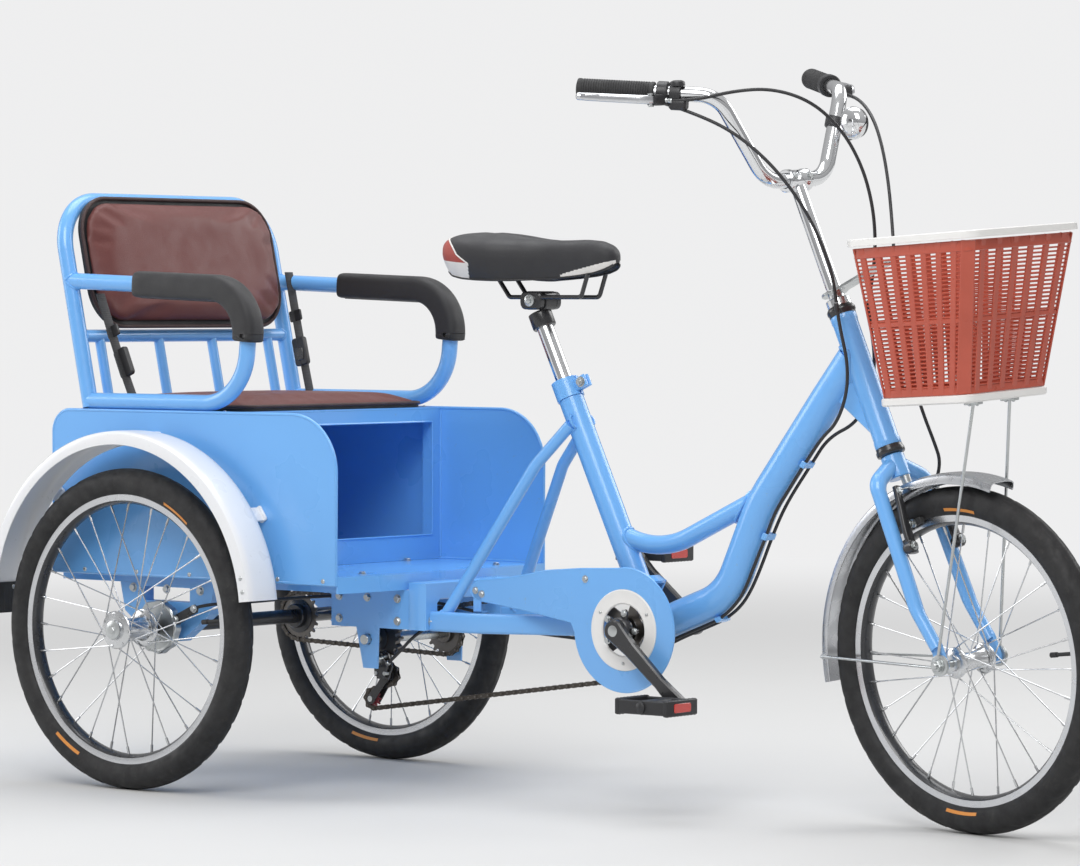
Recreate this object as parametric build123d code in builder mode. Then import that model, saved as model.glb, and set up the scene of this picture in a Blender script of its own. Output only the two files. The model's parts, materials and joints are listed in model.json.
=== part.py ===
from build123d import *
import os
from math import asin, atan2, ceil, cos, degrees, pi, radians, sin, sqrt, tan

# Three-wheeled pedal cycle with a passenger bench over a closed box between the rear wheels.
# Millimetres, +X forward, +Y to the rider's left, +Z up, origin on the ground under the middle.
# Distances along X are given from the rear axle, and heights from the ground.

# Running and seating clearances
SEAT_GAP = 0.25
RUN_FIT = 0.06
PART_GAP = 0.4

# Tubes, bosses and discs have flat-sided outlines: one side for each stretch of diameter
SIDE_STEP = 5.4
LEAST_SIDES = 6
MOST_SIDES = 20
# Bends and guards are made of straight steps of about this many degrees
BEND_STEP = 22.5
BEND_LEAST = 5.0
GUARD_STEP = 9.0

# Wheels
TYRE_R = 245.0
TYRE_HALF_W = 22.0
CROWN_HALF_W = 10.0
BEAD_HALF_W = 11.0
TYRE_SIDES = 48
RIM_R = 212.5
RIM_HALF_W = 13.0
RIM_DEPTH = 14.0
TYRE_SEAT_R = 208.0
SPOKE_COUNT = 28
RIM_SIDES = SPOKE_COUNT
SPOKE_D = 2.4
SPOKE_CROSS = 62.0
HUB_FLANGE_R = 29.0
HUB_FLANGE_T = 4.0
SPOKE_FOOT_DEPTH = 1.3
SPOKE_FOOT_IN = 4.0
SPOKE_TIP_DEPTH = 3.0
SPOKE_TIP_Y = 3.0
HUB_END_L = 7.0
HUB_END_STEP = 3.0
HUB_HALF_W = 31.0
HUB_BARREL_R = 18.0
FRONT_FLANGE_R = 22.0
FRONT_BARREL_R = 14.0
WHEELBASE = 1323.0
TRACK = 614.0

# Steering
STEER_FOOT_X = 1417.0
STEER_LEAN = 23.3
STEER_REST = -9.2
HEAD_LOW = 589.0
HEAD_HIGH = 791.0
HEAD_TUBE_D = 37.0
HEAD_TUBE_WALL = 3.0
STEERER_D = 25.4
CUP_D = 42.0
CUP_T = 13.0
CUP_CHAMFER = 3.0
LOCKNUT_T = 12.0
LOCKNUT_D = 36.0

# Frame tubes: outer diameter
MAIN_TUBE_D = 50.0
BRACE_TUBE_D = 28.0
SEAT_TUBE_D = 38.0
SEAT_TUBE_WALL = 3.0
SEAT_TUBE_SOLID_L = 40.0
SEAT_POST_D = 25.4
SHELL_D = 46.0
SHELL_HALF_W = 35.0
WELD_HALF_W = 80.0
BRACKET_X = 771.0
BRACKET_Z = 266.0
STAY_D = 18.0
CHAIN_STAY_W = 20.0
CHAIN_STAY_H = 30.0
CHAIN_STAY_Y = 86.0
REAR_CROSS_X = 401.0
REAR_CROSS_W = 34.0
REAR_CROSS_HALF_L = 105.0
CROSS_BASE_Z = 250.0
CROSS_ARCH_H = 46.0

# Box between the rear wheels
BOX_HALF_W = 250.0
BOX_REAR_X = -220.0
BOX_FRONT_X = 366.0
BOX_TOP_Z = 577.0
BOX_BASE_Z = 322.0
PANEL_T = 3.0
PANEL_FRONT_R = 88.0
PANEL_REAR_R = 36.0
FLOOR_Z = 335.0
FLOOR_T = 3.0
FLOOR_LIP_OUT = 12.0
RAIL_BASE_Z = 310.0
RAIL_W = 24.0
SEAT_FRONT_X = 145.0
SEAT_TUBE_SQ = 20.0
DECK_T = 3.0

# Passenger bench
CUSHION_T = 24.0
CUSHION_CORNER_R = 20.0
CUSHION_EDGE = 5.0
CUSHION_BACK_GAP = 22.0
CUSHION_HALF_W = 214.0
BENCH_TUBE_D = 25.0
BACK_FOOT_X = -147.0
BACK_HALF_W = 240.0
BACK_TOP_Z = 914.0
BACK_LEAN = 12.4
BACK_CORNER_R = 80.0
BACK_RAIL_Z = 690.0
BACK_PAD_T = 30.0
STRAP_W = 38.0
STRAP_T = 2.0
ARM_Z = 768.0
ARM_DROP = 8.0
ARM_FRONT_X = 188.0
ARM_PAD_D = 42.0
ARM_BEND_R = 68.0
ARM_LOW_BEND_R = 84.0

# Rear mudguards
GUARD_Z = 272.0
GUARD_R = 276.0
GUARD_HALF_W = 34.0
GUARD_LIP = 20.0
GUARD_T = 1.6
GUARD_FRONT_Z = 300.0
FLAP_L = 48.0
FLAP_T = 4.0
FLAP_CORNER = 5.0

# Axle and drive
AXLE_D = 22.0
HANGER_Y = 214.0
HANGER_T = 22.0
HANGER_HALF_L = 98.0
DRUM_D = 84.0
DRUM_T = 16.0
DRUM_Y = 243.0
JACK_X = 300.0
JACK_Z = 232.0
JACK_D = 16.0
CHAIN_Y = -62.0
REAR_CHAIN_Y = 84.0
CHAIN_W = 7.0
CHAIN_H = 8.0
RING_R = 72.0
AXLE_SPROCKET_R = 38.0
COVER_R = 91.0
COVER_Y = -76.0
CRANK_L = 152.0
CRANK_AXLE_D = 17.0
CRANK_ANGLE = -41.0
CRANK_Y = 98.0
PEDAL_Y = 150.0

# Basket
BASKET_BASE_Z = 622.0
BASKET_TILT = 3.2
BASKET_T = 4.0

# Handlebar
BAR_D = 22.0
CLAMP_S = 1002.0
GRIP_D = 31.0

# Worked out from the sizes above
WHEEL_Y = TRACK / 2
TORUS_R = TYRE_R - TYRE_HALF_W + 3
FRONT_AXLE_Z = TYRE_R
STEER_TURN = radians(abs(STEER_REST))
FRONT_REACH = WHEELBASE + TYRE_R * cos(STEER_TURN) + CROWN_HALF_W * sin(STEER_TURN)
REAR_REACH = sqrt(GUARD_R**2 - (GUARD_FRONT_Z - GUARD_Z) ** 2)
REAR_X = (REAR_REACH - FRONT_REACH) / 2


def upright(y=0.0):
    """The fore-and-aft plane at y, seen from the right, its origin on the ground under the rear axle."""
    return Plane((REAR_X, y, 0), x_dir=(1, 0, 0), z_dir=(0, -1, 0))


def level(z=0.0):
    """The horizontal plane at height z, its origin over the rear axle."""
    return Plane((REAR_X, 0, z))


def across(x=0.0):
    """The plane that faces forward at x, with +Y to its right and +Z up."""
    return Plane((REAR_X + x, 0, 0), x_dir=(0, 1, 0), z_dir=(1, 0, 0))


STEER_FOOT = Vector(REAR_X + STEER_FOOT_X, 0, 0)
STEER_UP = Vector(-sin(radians(STEER_LEAN)), 0, cos(radians(STEER_LEAN)))
STEER_AHEAD = Vector(cos(radians(STEER_LEAN)), 0, sin(radians(STEER_LEAN)))


def turned(direction):
    """A direction of the straight-ahead fork, turned with the steering at rest."""
    return Vector(direction).rotate(Axis((0, 0, 0), STEER_UP), STEER_REST)


STEER_SIDE = turned((0, -1, 0))


def steered(y=0.0):
    """The upright plane of the steered pieces, its origin where the steering axis meets the ground."""
    return Plane(STEER_FOOT - STEER_SIDE * y, x_dir=turned((1, 0, 0)), z_dir=STEER_SIDE)


def along_fork(y=0.0):
    """Like steered, with its own Y up the steering axis and its own X square to it."""
    return Plane(STEER_FOOT - STEER_SIDE * y, x_dir=turned(STEER_AHEAD), z_dir=STEER_SIDE)


def across_fork(s):
    """The plane square to the steering axis at the distance s up it, with X forward."""
    return Plane(STEER_FOOT + STEER_UP * s, x_dir=turned(STEER_AHEAD), z_dir=STEER_UP)


# The front axle, ahead of and along the steering axis
AXLE_DX = WHEELBASE - STEER_FOOT_X
FRONT_F = AXLE_DX * cos(radians(STEER_LEAN)) + FRONT_AXLE_Z * sin(radians(STEER_LEAN))
FRONT_S = FRONT_AXLE_Z * cos(radians(STEER_LEAN)) - AXLE_DX * sin(radians(STEER_LEAN))


def sides_of(diameter):
    """The number of flat sides of an outline that stands for a round one."""
    return max(LEAST_SIDES, min(MOST_SIDES, 2 * round(diameter / SIDE_STEP)))


def round_outline(radius, mode=Mode.ADD):
    """A flat-sided stand-in for a circle: inside it when added, round it when it is a hole."""
    sides = sides_of(2 * radius)
    reach = radius if mode == Mode.ADD else radius / cos(pi / sides)
    RegularPolygon(reach, sides, mode=mode)


def bent_route(points, radii):
    """Points along straight runs joined by bends, each bend in short straight steps."""
    corners = [Vector(point) for point in points]
    route = [corners[0]]
    for before, here, after, radius in zip(corners, corners[1:], corners[2:], radii):
        back = (before - here).normalized()
        ahead = (after - here).normalized()
        turn = pi - radians(back.get_angle(ahead))
        if degrees(turn) < BEND_LEAST:
            route.append(here)
            continue
        start = here + back * (radius * tan(turn / 2))
        center = here + (back + ahead).normalized() * (radius / cos(turn / 2))
        steps = ceil(degrees(turn) / BEND_STEP)
        for step in range(steps + 1):
            angle = turn * step / steps
            route.append(center + (start - center) * cos(angle) - back * (radius * sin(angle)))
    return [tuple(point) for point in [*route, corners[-1]]]


def tube(plane, points, radii, diameter, wall=0.0, mode=Mode.ADD):
    """A tube along straight runs joined by bends; wall 0 makes it solid."""
    with BuildLine(plane) as route:
        Polyline(*bent_route(points, radii))
    with BuildSketch(Plane(route.line @ 0, z_dir=route.line % 0)) as section:
        sides = sides_of(diameter)
        reach = diameter / 2 if mode == Mode.ADD else diameter / 2 / cos(pi / sides)
        RegularPolygon(reach, sides)
        if wall:
            RegularPolygon((diameter / 2 - wall) / cos(pi / sides), sides, mode=Mode.SUBTRACT)
    sweep(section.sketch, path=route.line, transition=Transition.RIGHT, mode=mode)


def drum(plane, x, y, radius, start, length, bore=0.0, mode=Mode.ADD):
    """A boss or disc, square to a plane at its point x, y, from start along the normal."""
    with BuildSketch(plane.offset(start)) as section:
        with Locations((x, y)):
            sides = sides_of(2 * radius)
            RegularPolygon(radius if mode == Mode.ADD else radius / cos(pi / sides), sides)
            if bore:
                round_outline(bore, Mode.SUBTRACT)
    extrude(section.sketch, amount=length, mode=mode)


def shaft(plane, x, y, radius, start, length, mode=Mode.ADD):
    """A truly round shaft or bore, laid out as drum is."""
    with BuildSketch(plane.offset(start)) as section:
        with Locations((x, y)):
            Circle(radius)
    extrude(section.sketch, amount=length, mode=mode)


os.makedirs("parts", exist_ok=True)
NODES = []


def keep(name, built):
    """Labels a finished piece and writes it to its own file."""
    built.part.label = name
    export_step(built.part, f"parts/{name}.step")
    NODES.append(name)


# Wheels: each is built about its own axle, the local Z of a plane called spin
def facing(spin, face, distance):
    """The plane at a distance to one side of spin, 1 or -1, that faces away from its middle."""
    turned_round = Plane(spin.origin, x_dir=spin.x_dir, z_dir=spin.z_dir * face)
    return turned_round.offset(distance)


def tapered_ring(plane, radius, length, drop=0.0, mode=Mode.ADD):
    """A flat-sided disc of the tyre whose radius falls by drop over its length."""
    with BuildSketch(plane) as section:
        RegularPolygon(radius, TYRE_SIDES)
    lean = degrees(atan2(drop * cos(pi / TYRE_SIDES), length))
    extrude(section.sketch, amount=length, taper=lean, mode=mode)


def tyre_ring(spin):
    """A tyre in the open part: flat crown, leaning shoulders and sides that run in to the rim."""
    bed_r = TYRE_SEAT_R + SEAT_GAP
    tapered_ring(spin.offset(-CROWN_HALF_W), TYRE_R, 2 * CROWN_HALF_W)
    for face in (-1, 1):
        shoulder = facing(spin, face, CROWN_HALF_W)
        tapered_ring(shoulder, TYRE_R, TYRE_HALF_W - CROWN_HALF_W, TYRE_R - TORUS_R)
        inward = facing(spin, -face, -TYRE_HALF_W)
        tapered_ring(inward, TORUS_R, TYRE_HALF_W - BEAD_HALF_W, TORUS_R - bed_r, Mode.SUBTRACT)
    bore_r = bed_r / cos(pi / TYRE_SIDES)
    tapered_ring(spin.offset(-TYRE_HALF_W), bore_r, 2 * TYRE_HALF_W, mode=Mode.SUBTRACT)


def spokes(spin, flange_r, flange_y):
    """Crossed spokes from both hub flanges to the rim, about the axle's plane spin."""
    rim_r = TYRE_SEAT_R - RIM_DEPTH + SPOKE_TIP_DEPTH
    for number in range(SPOKE_COUNT):
        side = 1 if number % 2 else -1
        lean = SPOKE_CROSS if (number // 2) % 2 else -SPOKE_CROSS
        rim_angle = radians(360 * number / SPOKE_COUNT)
        hub_angle = rim_angle + radians(lean)
        foot = (flange_r * cos(hub_angle), flange_r * sin(hub_angle), side * flange_y)
        tip = (rim_r * cos(rim_angle), rim_r * sin(rim_angle), side * SPOKE_TIP_Y)
        with BuildLine(spin) as route:
            Line(foot, tip)
        with BuildSketch(Plane(route.line @ 0, z_dir=route.line % 0)) as section:
            RegularPolygon(SPOKE_D / 2, 3)
        sweep(section.sketch, path=route.line)


def wheel(spin, flange_r, barrel_r, bore_r, half_w):
    """Rim, spokes and hub about the local Z of spin, in the open part."""
    with BuildSketch(spin.offset(-RIM_HALF_W)) as rim:
        RegularPolygon(TYRE_SEAT_R, RIM_SIDES, rotation=180 / RIM_SIDES)
        RegularPolygon(TYRE_SEAT_R - RIM_DEPTH, RIM_SIDES, rotation=180 / RIM_SIDES, mode=Mode.SUBTRACT)
    extrude(rim.sketch, amount=2 * RIM_HALF_W)
    spokes(spin, flange_r - SPOKE_FOOT_IN, half_w - SPOKE_FOOT_DEPTH)
    drum(spin, 0, 0, barrel_r, -half_w, 2 * half_w)
    for start in (-half_w, half_w - HUB_FLANGE_T):
        drum(spin, 0, 0, flange_r, start, HUB_FLANGE_T)
    end_y = half_w + HUB_END_L
    drum(spin, 0, 0, barrel_r - HUB_END_STEP, -end_y, 2 * end_y)
    shaft(spin, 0, 0, bore_r, -end_y - 1, 2 * end_y + 2, mode=Mode.SUBTRACT)


def wheel_plane(side):
    """The middle plane of a rear wheel, its origin on the axle; side is 1 for left, -1 for right."""
    return Plane((REAR_X, side * WHEEL_Y, TYRE_R), x_dir=(1, 0, 0), z_dir=(0, -1, 0))


FRONT_SPIN = Plane(
    along_fork().from_local_coords((FRONT_F, FRONT_S, 0)), x_dir=turned((1, 0, 0)), z_dir=STEER_SIDE
)

SPIN_PLANES = {"right": wheel_plane(-1), "left": wheel_plane(1), "front": FRONT_SPIN}
FRONT_AXLE_D = 10.0

for name, spin in SPIN_PLANES.items():
    with BuildPart() as tyre:
        tyre_ring(spin)
    keep(f"tyre_{name}", tyre)

with BuildPart() as wheel_right:
    wheel(SPIN_PLANES["right"], HUB_FLANGE_R, HUB_BARREL_R, AXLE_D / 2 + RUN_FIT, HUB_HALF_W)
keep("wheel_right", wheel_right)

with BuildPart() as wheel_left:
    wheel(SPIN_PLANES["left"], HUB_FLANGE_R, HUB_BARREL_R, AXLE_D / 2 + SEAT_GAP, HUB_HALF_W)
keep("wheel_left", wheel_left)

with BuildPart() as wheel_front:
    wheel(FRONT_SPIN, FRONT_FLANGE_R, FRONT_BARREL_R, FRONT_AXLE_D / 2 + RUN_FIT, HUB_HALF_W)
keep("wheel_front", wheel_front)

# Rear axle with the driven wheel's sprocket
AXLE_HALF_L = WHEEL_Y + HUB_HALF_W + HUB_END_L
TOOTH_GAP = 1.5
SPROCKET_T = 4.0
CARRIER_R = 19.0
CARRIER_L = 28.0
with BuildPart() as rear_axle:
    shaft(upright(), 0, TYRE_R, AXLE_D / 2, -AXLE_HALF_L, 2 * AXLE_HALF_L)
    sprocket_r = AXLE_SPROCKET_R - CHAIN_H / 2 - TOOTH_GAP
    drum(upright(), 0, TYRE_R, sprocket_r, -REAR_CHAIN_Y - SPROCKET_T / 2, SPROCKET_T)
    drum(upright(), 0, TYRE_R, CARRIER_R, -REAR_CHAIN_Y - CARRIER_L / 2, CARRIER_L)
keep("rear_axle", rear_axle)

# Hangers that carry the axle under the box
HANGER_STEP_Z = 266.0
HANGER_STEP_IN = 10.0
HANGER_NOSE_HALF_L = 30.0
HANGER_SLOT_L = 96.0
HANGER_SLOT_H = 22.0
HANGER_SLOT_DROP = 16.0
with BuildPart() as axle_hangers:
    for side in (-1, 1):
        with BuildSketch(upright(side * HANGER_Y)) as plate:
            with BuildLine():
                Polyline(
                    (-HANGER_HALF_L, RAIL_BASE_Z - SEAT_GAP),
                    (-HANGER_HALF_L + HANGER_STEP_IN, HANGER_STEP_Z),
                    (-HANGER_NOSE_HALF_L, TYRE_R - AXLE_D),
                    (HANGER_NOSE_HALF_L, TYRE_R - AXLE_D),
                    (HANGER_HALF_L - HANGER_STEP_IN, HANGER_STEP_Z),
                    (HANGER_HALF_L, RAIL_BASE_Z - SEAT_GAP),
                    close=True,
                )
            make_face()
            with Locations((0, RAIL_BASE_Z - HANGER_SLOT_DROP)):
                Rectangle(HANGER_SLOT_L, HANGER_SLOT_H, mode=Mode.SUBTRACT)
            with Locations((0, TYRE_R)):
                Circle(AXLE_D / 2 + RUN_FIT, mode=Mode.SUBTRACT)
        extrude(plate.sketch, amount=HANGER_T / 2, both=True)
keep("axle_hangers", axle_hangers)

# Band brake on the right end of the axle
DRUM_HUB_R = 17.0
BRAKE_ARM_T = 8.0
BRAKE_ARM = [(30, 262), (74, 282), (80, 272), (38, 250)]
with BuildPart() as band_brake:
    drum(upright(), 0, TYRE_R, DRUM_D / 2, DRUM_Y - DRUM_T / 2, DRUM_T, bore=AXLE_D / 2 + PART_GAP)
    hub_start = HANGER_Y + HANGER_T / 2
    drum(upright(), 0, TYRE_R, DRUM_HUB_R, hub_start, DRUM_Y - hub_start, bore=AXLE_D / 2 + PART_GAP)
    with BuildSketch(upright(-DRUM_Y)) as arm:
        with BuildLine():
            Polyline(*BRAKE_ARM, close=True)
        make_face()
    extrude(arm.sketch, amount=BRAKE_ARM_T / 2, both=True)
keep("band_brake", band_brake)

# Steerer, head tube and headset
with BuildPart() as head_tube:
    with BuildSketch(across_fork(HEAD_LOW)) as section:
        RegularPolygon(HEAD_TUBE_D / 2, sides_of(HEAD_TUBE_D))
        RegularPolygon(HEAD_TUBE_D / 2 - HEAD_TUBE_WALL, sides_of(HEAD_TUBE_D), mode=Mode.SUBTRACT)
    extrude(section.sketch, amount=HEAD_HIGH - HEAD_LOW)
keep("head_tube", head_tube)

with BuildPart() as headset_cups:
    for start, reach in ((HEAD_LOW - CUP_T, CUP_T), (HEAD_HIGH, CUP_T)):
        drum(across_fork(0), 0, 0, CUP_D / 2, start, reach, bore=STEERER_D / 2 + RUN_FIT)
    chamfer(headset_cups.faces().sort_by(Axis(STEER_FOOT, STEER_UP))[-1].outer_wire().edges(), CUP_CHAMFER)
keep("headset_cups", headset_cups)

# Seat tube with the bottom bracket shell, and the second tube up to the main tube
SEAT_TOP = (613, 600)
SEAT_FOOT = (BRACKET_X, BRACKET_Z)
SEAT_RUN = sqrt((SEAT_TOP[0] - SEAT_FOOT[0]) ** 2 + (SEAT_TOP[1] - SEAT_FOOT[1]) ** 2)
SEAT_AHEAD = (SEAT_TOP[0] - SEAT_FOOT[0]) / SEAT_RUN
SEAT_RISE = (SEAT_TOP[1] - SEAT_FOOT[1]) / SEAT_RUN


def up_seat_tube(distance):
    """A point on the seat tube's axis, at a distance up from the bottom bracket."""
    return (SEAT_FOOT[0] + SEAT_AHEAD * distance, SEAT_FOOT[1] + SEAT_RISE * distance)


def across_seat_tube(distance):
    """The plane square to the seat tube at a distance up it."""
    x, z = up_seat_tube(distance)
    return Plane((REAR_X + x, 0, z), x_dir=(SEAT_RISE, 0, -SEAT_AHEAD), z_dir=(SEAT_AHEAD, 0, SEAT_RISE))


def shell_clearance():
    """Cuts the bottom bracket shell's room out of the open part."""
    reach = SHELL_D / 2 + SEAT_GAP
    drum(upright(), BRACKET_X, BRACKET_Z, reach, -WELD_HALF_W, 2 * WELD_HALF_W, mode=Mode.SUBTRACT)


# Main tube: from the head tube down to the bottom bracket
MAIN_POINTS = [(1122, 666), (965, 455), (905, 318), (BRACKET_X + 14, BRACKET_Z + 5)]
MAIN_BENDS = [220, 95]
GUSSET = [(1096, 604), (1160, 556), (1185, 566), (1126, 676)]
GUSSET_T = 18.0
with BuildPart() as main_tube:
    tube(upright(), MAIN_POINTS, MAIN_BENDS, MAIN_TUBE_D)
    with BuildSketch(upright()) as gusset:
        with BuildLine():
            Polyline(*GUSSET, close=True)
        make_face()
    extrude(gusset.sketch, amount=GUSSET_T / 2, both=True)
    drum(across_fork(0), 0, 0, HEAD_TUBE_D / 2 + SEAT_GAP, HEAD_LOW - 90, 400, mode=Mode.SUBTRACT)
    shell_clearance()
    tube(upright(), [SEAT_FOOT, SEAT_TOP], [], SEAT_TUBE_D + 2 * SEAT_GAP, mode=Mode.SUBTRACT)
keep("main_tube", main_tube)

with BuildPart() as seat_tube:
    drum(upright(), BRACKET_X, BRACKET_Z, SHELL_D / 2, -SHELL_HALF_W, 2 * SHELL_HALF_W)
    tube(upright(), [SEAT_FOOT, SEAT_TOP], [], SEAT_TUBE_D)
    inner_r = SEAT_TUBE_D / 2 - SEAT_TUBE_WALL
    drum(across_seat_tube(0), 0, 0, inner_r, SEAT_TUBE_SOLID_L, SEAT_RUN, mode=Mode.SUBTRACT)
    shaft(upright(), BRACKET_X, BRACKET_Z, CRANK_AXLE_D / 2 + RUN_FIT, -60, 120, mode=Mode.SUBTRACT)
keep("seat_tube", seat_tube)

BRACE_POINTS = [up_seat_tube(150), (785, 378), (960, 462)]
BRACE_BENDS = [140]
with BuildPart() as brace_tube:
    tube(upright(), BRACE_POINTS, BRACE_BENDS, BRACE_TUBE_D)
    tube(upright(), [SEAT_FOOT, SEAT_TOP], [], SEAT_TUBE_D + 2 * SEAT_GAP, mode=Mode.SUBTRACT)
    tube(upright(), MAIN_POINTS, MAIN_BENDS, MAIN_TUBE_D + 2 * SEAT_GAP, mode=Mode.SUBTRACT)
keep("brace_tube", brace_tube)

# Seat clamp, post and saddle
CLAMP_L = 30.0
CLAMP_R = 21.0
LUG_X = 30.0
LUG_L = 22.0
LUG_W = 14.0
LUG_H = 18.0
LUG_RISE = 14.0
with BuildPart() as seat_clamp:
    drum(across_seat_tube(SEAT_RUN), 0, 0, CLAMP_R, SEAT_GAP, CLAMP_L, bore=SEAT_POST_D / 2 + SEAT_GAP)
    with BuildSketch(across_seat_tube(SEAT_RUN + LUG_RISE)) as lug:
        with Locations((LUG_X, 0)):
            Rectangle(LUG_L, LUG_W)
    extrude(lug.sketch, amount=LUG_H / 2, both=True)
keep("seat_clamp", seat_clamp)

POST_L = 232.0
POST_DEPTH = 90.0
POST_END = SEAT_RUN - POST_DEPTH + POST_L
with BuildPart() as seat_post:
    drum(across_seat_tube(POST_END), 0, 0, SEAT_POST_D / 2, -POST_L, POST_L)
keep("seat_post", seat_post)

POST_TOP = up_seat_tube(POST_END)
SADDLE_BASE_Z = 782.0
SADDLE_REAR_X = 417.0
SADDLE_NOSE_X = 700.0
SADDLE_SIDE = [
    (SADDLE_REAR_X, 806),
    (SADDLE_REAR_X + 10, 838),
    (SADDLE_REAR_X + 46, 850),
    (SADDLE_REAR_X + 150, 838),
    (SADDLE_NOSE_X - 34, 834),
    (SADDLE_NOSE_X, 810),
    (SADDLE_NOSE_X - 12, 792),
    (SADDLE_NOSE_X - 110, SADDLE_BASE_Z),
    (SADDLE_REAR_X + 90, SADDLE_BASE_Z - 6),
]
SADDLE_PLAN = [
    (SADDLE_REAR_X, -58),
    (SADDLE_REAR_X + 22, -98),
    (SADDLE_REAR_X + 96, -92),
    (SADDLE_REAR_X + 160, -34),
    (SADDLE_NOSE_X, -22),
]
SADDLE_NOSE_R = 21.0
SADDLE_REAR_R = 24.0
SADDLE_EDGE_R = 6.0
with BuildPart() as saddle:
    with BuildSketch(level(SADDLE_BASE_Z - 20)) as outline:
        with BuildLine():
            left = [(x, -y) for x, y in reversed(SADDLE_PLAN)]
            Polyline(*SADDLE_PLAN, *left, close=True)
        make_face()
        fillet(outline.vertices().group_by(Axis.X)[-1], SADDLE_NOSE_R)
        wide_end = REAR_X + SADDLE_REAR_X + 110
        fillet(outline.vertices().filter_by_position(Axis.X, REAR_X, wide_end), SADDLE_REAR_R)
    extrude(outline.sketch, amount=120)
    with BuildSketch(upright()) as side_view:
        with BuildLine():
            Polyline(*SADDLE_SIDE, close=True)
        make_face()
        fillet(side_view.vertices(), SADDLE_EDGE_R)
    extrude(side_view.sketch, amount=110, both=True, mode=Mode.INTERSECT)
keep("saddle", saddle)

RAIL_LOW_Z = 752.0
RAIL_Y = 22.0
RAIL_ROD_D = 7.0
RAIL_BEND_R = 8.0
SEAT_SLEEVE_R = 18.0
SEAT_SLEEVE_L = 24.0
SEAT_BLOCK_L = 44.0
SEAT_BLOCK_H = 30.0
SEAT_BLOCK_W = 52.0
SEAT_BLOCK_Z = 746.0
with BuildPart() as saddle_mount:
    bore_r = SEAT_POST_D / 2 + SEAT_GAP
    drum(across_seat_tube(POST_END), 0, 0, SEAT_SLEEVE_R, -SEAT_SLEEVE_L, SEAT_SLEEVE_L, bore=bore_r)
    for side in (-1, 1):
        rail = [
            (POST_TOP[0] - 60, SADDLE_BASE_Z - 4.5),
            (POST_TOP[0] - 40, RAIL_LOW_Z),
            (POST_TOP[0] + 96, RAIL_LOW_Z),
            (POST_TOP[0] + 108, SADDLE_BASE_Z + 5.3),
        ]
        tube(upright(side * RAIL_Y), rail, [RAIL_BEND_R, RAIL_BEND_R], RAIL_ROD_D)
    with BuildSketch(upright()) as block:
        with Locations((POST_TOP[0] + 2, SEAT_BLOCK_Z)):
            Rectangle(SEAT_BLOCK_L, SEAT_BLOCK_H)
    extrude(block.sketch, amount=SEAT_BLOCK_W / 2, both=True)
    drum(across_seat_tube(POST_END), 0, 0, bore_r, -POST_DEPTH, POST_DEPTH + SEAT_GAP, mode=Mode.SUBTRACT)
keep("saddle_mount", saddle_mount)

# Stays from the seat tube and the bottom bracket to the cross member under the box
STAY_Z = BRACKET_Z - 2
STAY_TOP_Z = STAY_Z + CHAIN_STAY_H / 2 + SEAT_GAP
STAY_BEND_X = 500.0
STAY_MEET_X = 640.0
STAY_MEET_Y = 24.0
STAY_FRONT_Y = 20.0
STAY_BEND_R = 80.0
STAY_JOIN_DROP = 42.0
SEAT_STAY_BEND_R = 60.0
with BuildPart() as cross_member:
    with BuildSketch(across(REAR_CROSS_X - REAR_CROSS_W / 2)) as arch:
        with Locations((0, (BOX_BASE_Z + CROSS_BASE_Z) / 2)):
            Rectangle(2 * REAR_CROSS_HALF_L, BOX_BASE_Z - CROSS_BASE_Z)
        with Locations((0, CROSS_BASE_Z)):
            Rectangle(2 * (CHAIN_STAY_Y - CHAIN_STAY_W / 2), 2 * CROSS_ARCH_H, mode=Mode.SUBTRACT)
    extrude(arch.sketch, amount=REAR_CROSS_W)
keep("cross_member", cross_member)

with BuildPart() as chain_stays:
    for side in (-1, 1):
        middle = [
            (REAR_CROSS_X + REAR_CROSS_W / 2 + SEAT_GAP, side * CHAIN_STAY_Y),
            (STAY_BEND_X, side * CHAIN_STAY_Y),
            (STAY_MEET_X, side * STAY_MEET_Y),
            (BRACKET_X, side * STAY_FRONT_Y),
        ]
        with BuildLine(level(STAY_Z)) as route:
            Polyline(*bent_route(middle, [STAY_BEND_R, STAY_BEND_R]))
        with BuildSketch(Plane(route.line @ 0, x_dir=(0, 1, 0), z_dir=route.line % 0)) as section:
            Rectangle(CHAIN_STAY_W, CHAIN_STAY_H)
        sweep(section.sketch, path=route.line, transition=Transition.RIGHT)
    shell_clearance()
    tube(upright(), [SEAT_FOOT, SEAT_TOP], [], SEAT_TUBE_D + 2 * SEAT_GAP, mode=Mode.SUBTRACT)
keep("chain_stays", chain_stays)

with BuildPart() as seat_stays:
    for side in (-1, 1):
        top = up_seat_tube(SEAT_RUN - STAY_JOIN_DROP)
        middle = [
            (top[0] - 4, top[1], side * 22),
            (top[0] - 60, top[1] - 62, side * 34),
            (REAR_CROSS_X + 34, STAY_Z, side * CHAIN_STAY_Y),
        ]
        tube(upright(), middle, [SEAT_STAY_BEND_R], STAY_D)
    tube(upright(), [SEAT_FOOT, SEAT_TOP], [], SEAT_TUBE_D + 2 * SEAT_GAP, mode=Mode.SUBTRACT)
    split(bisect_by=level(STAY_TOP_Z), keep=Keep.TOP)
keep("seat_stays", seat_stays)


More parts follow.
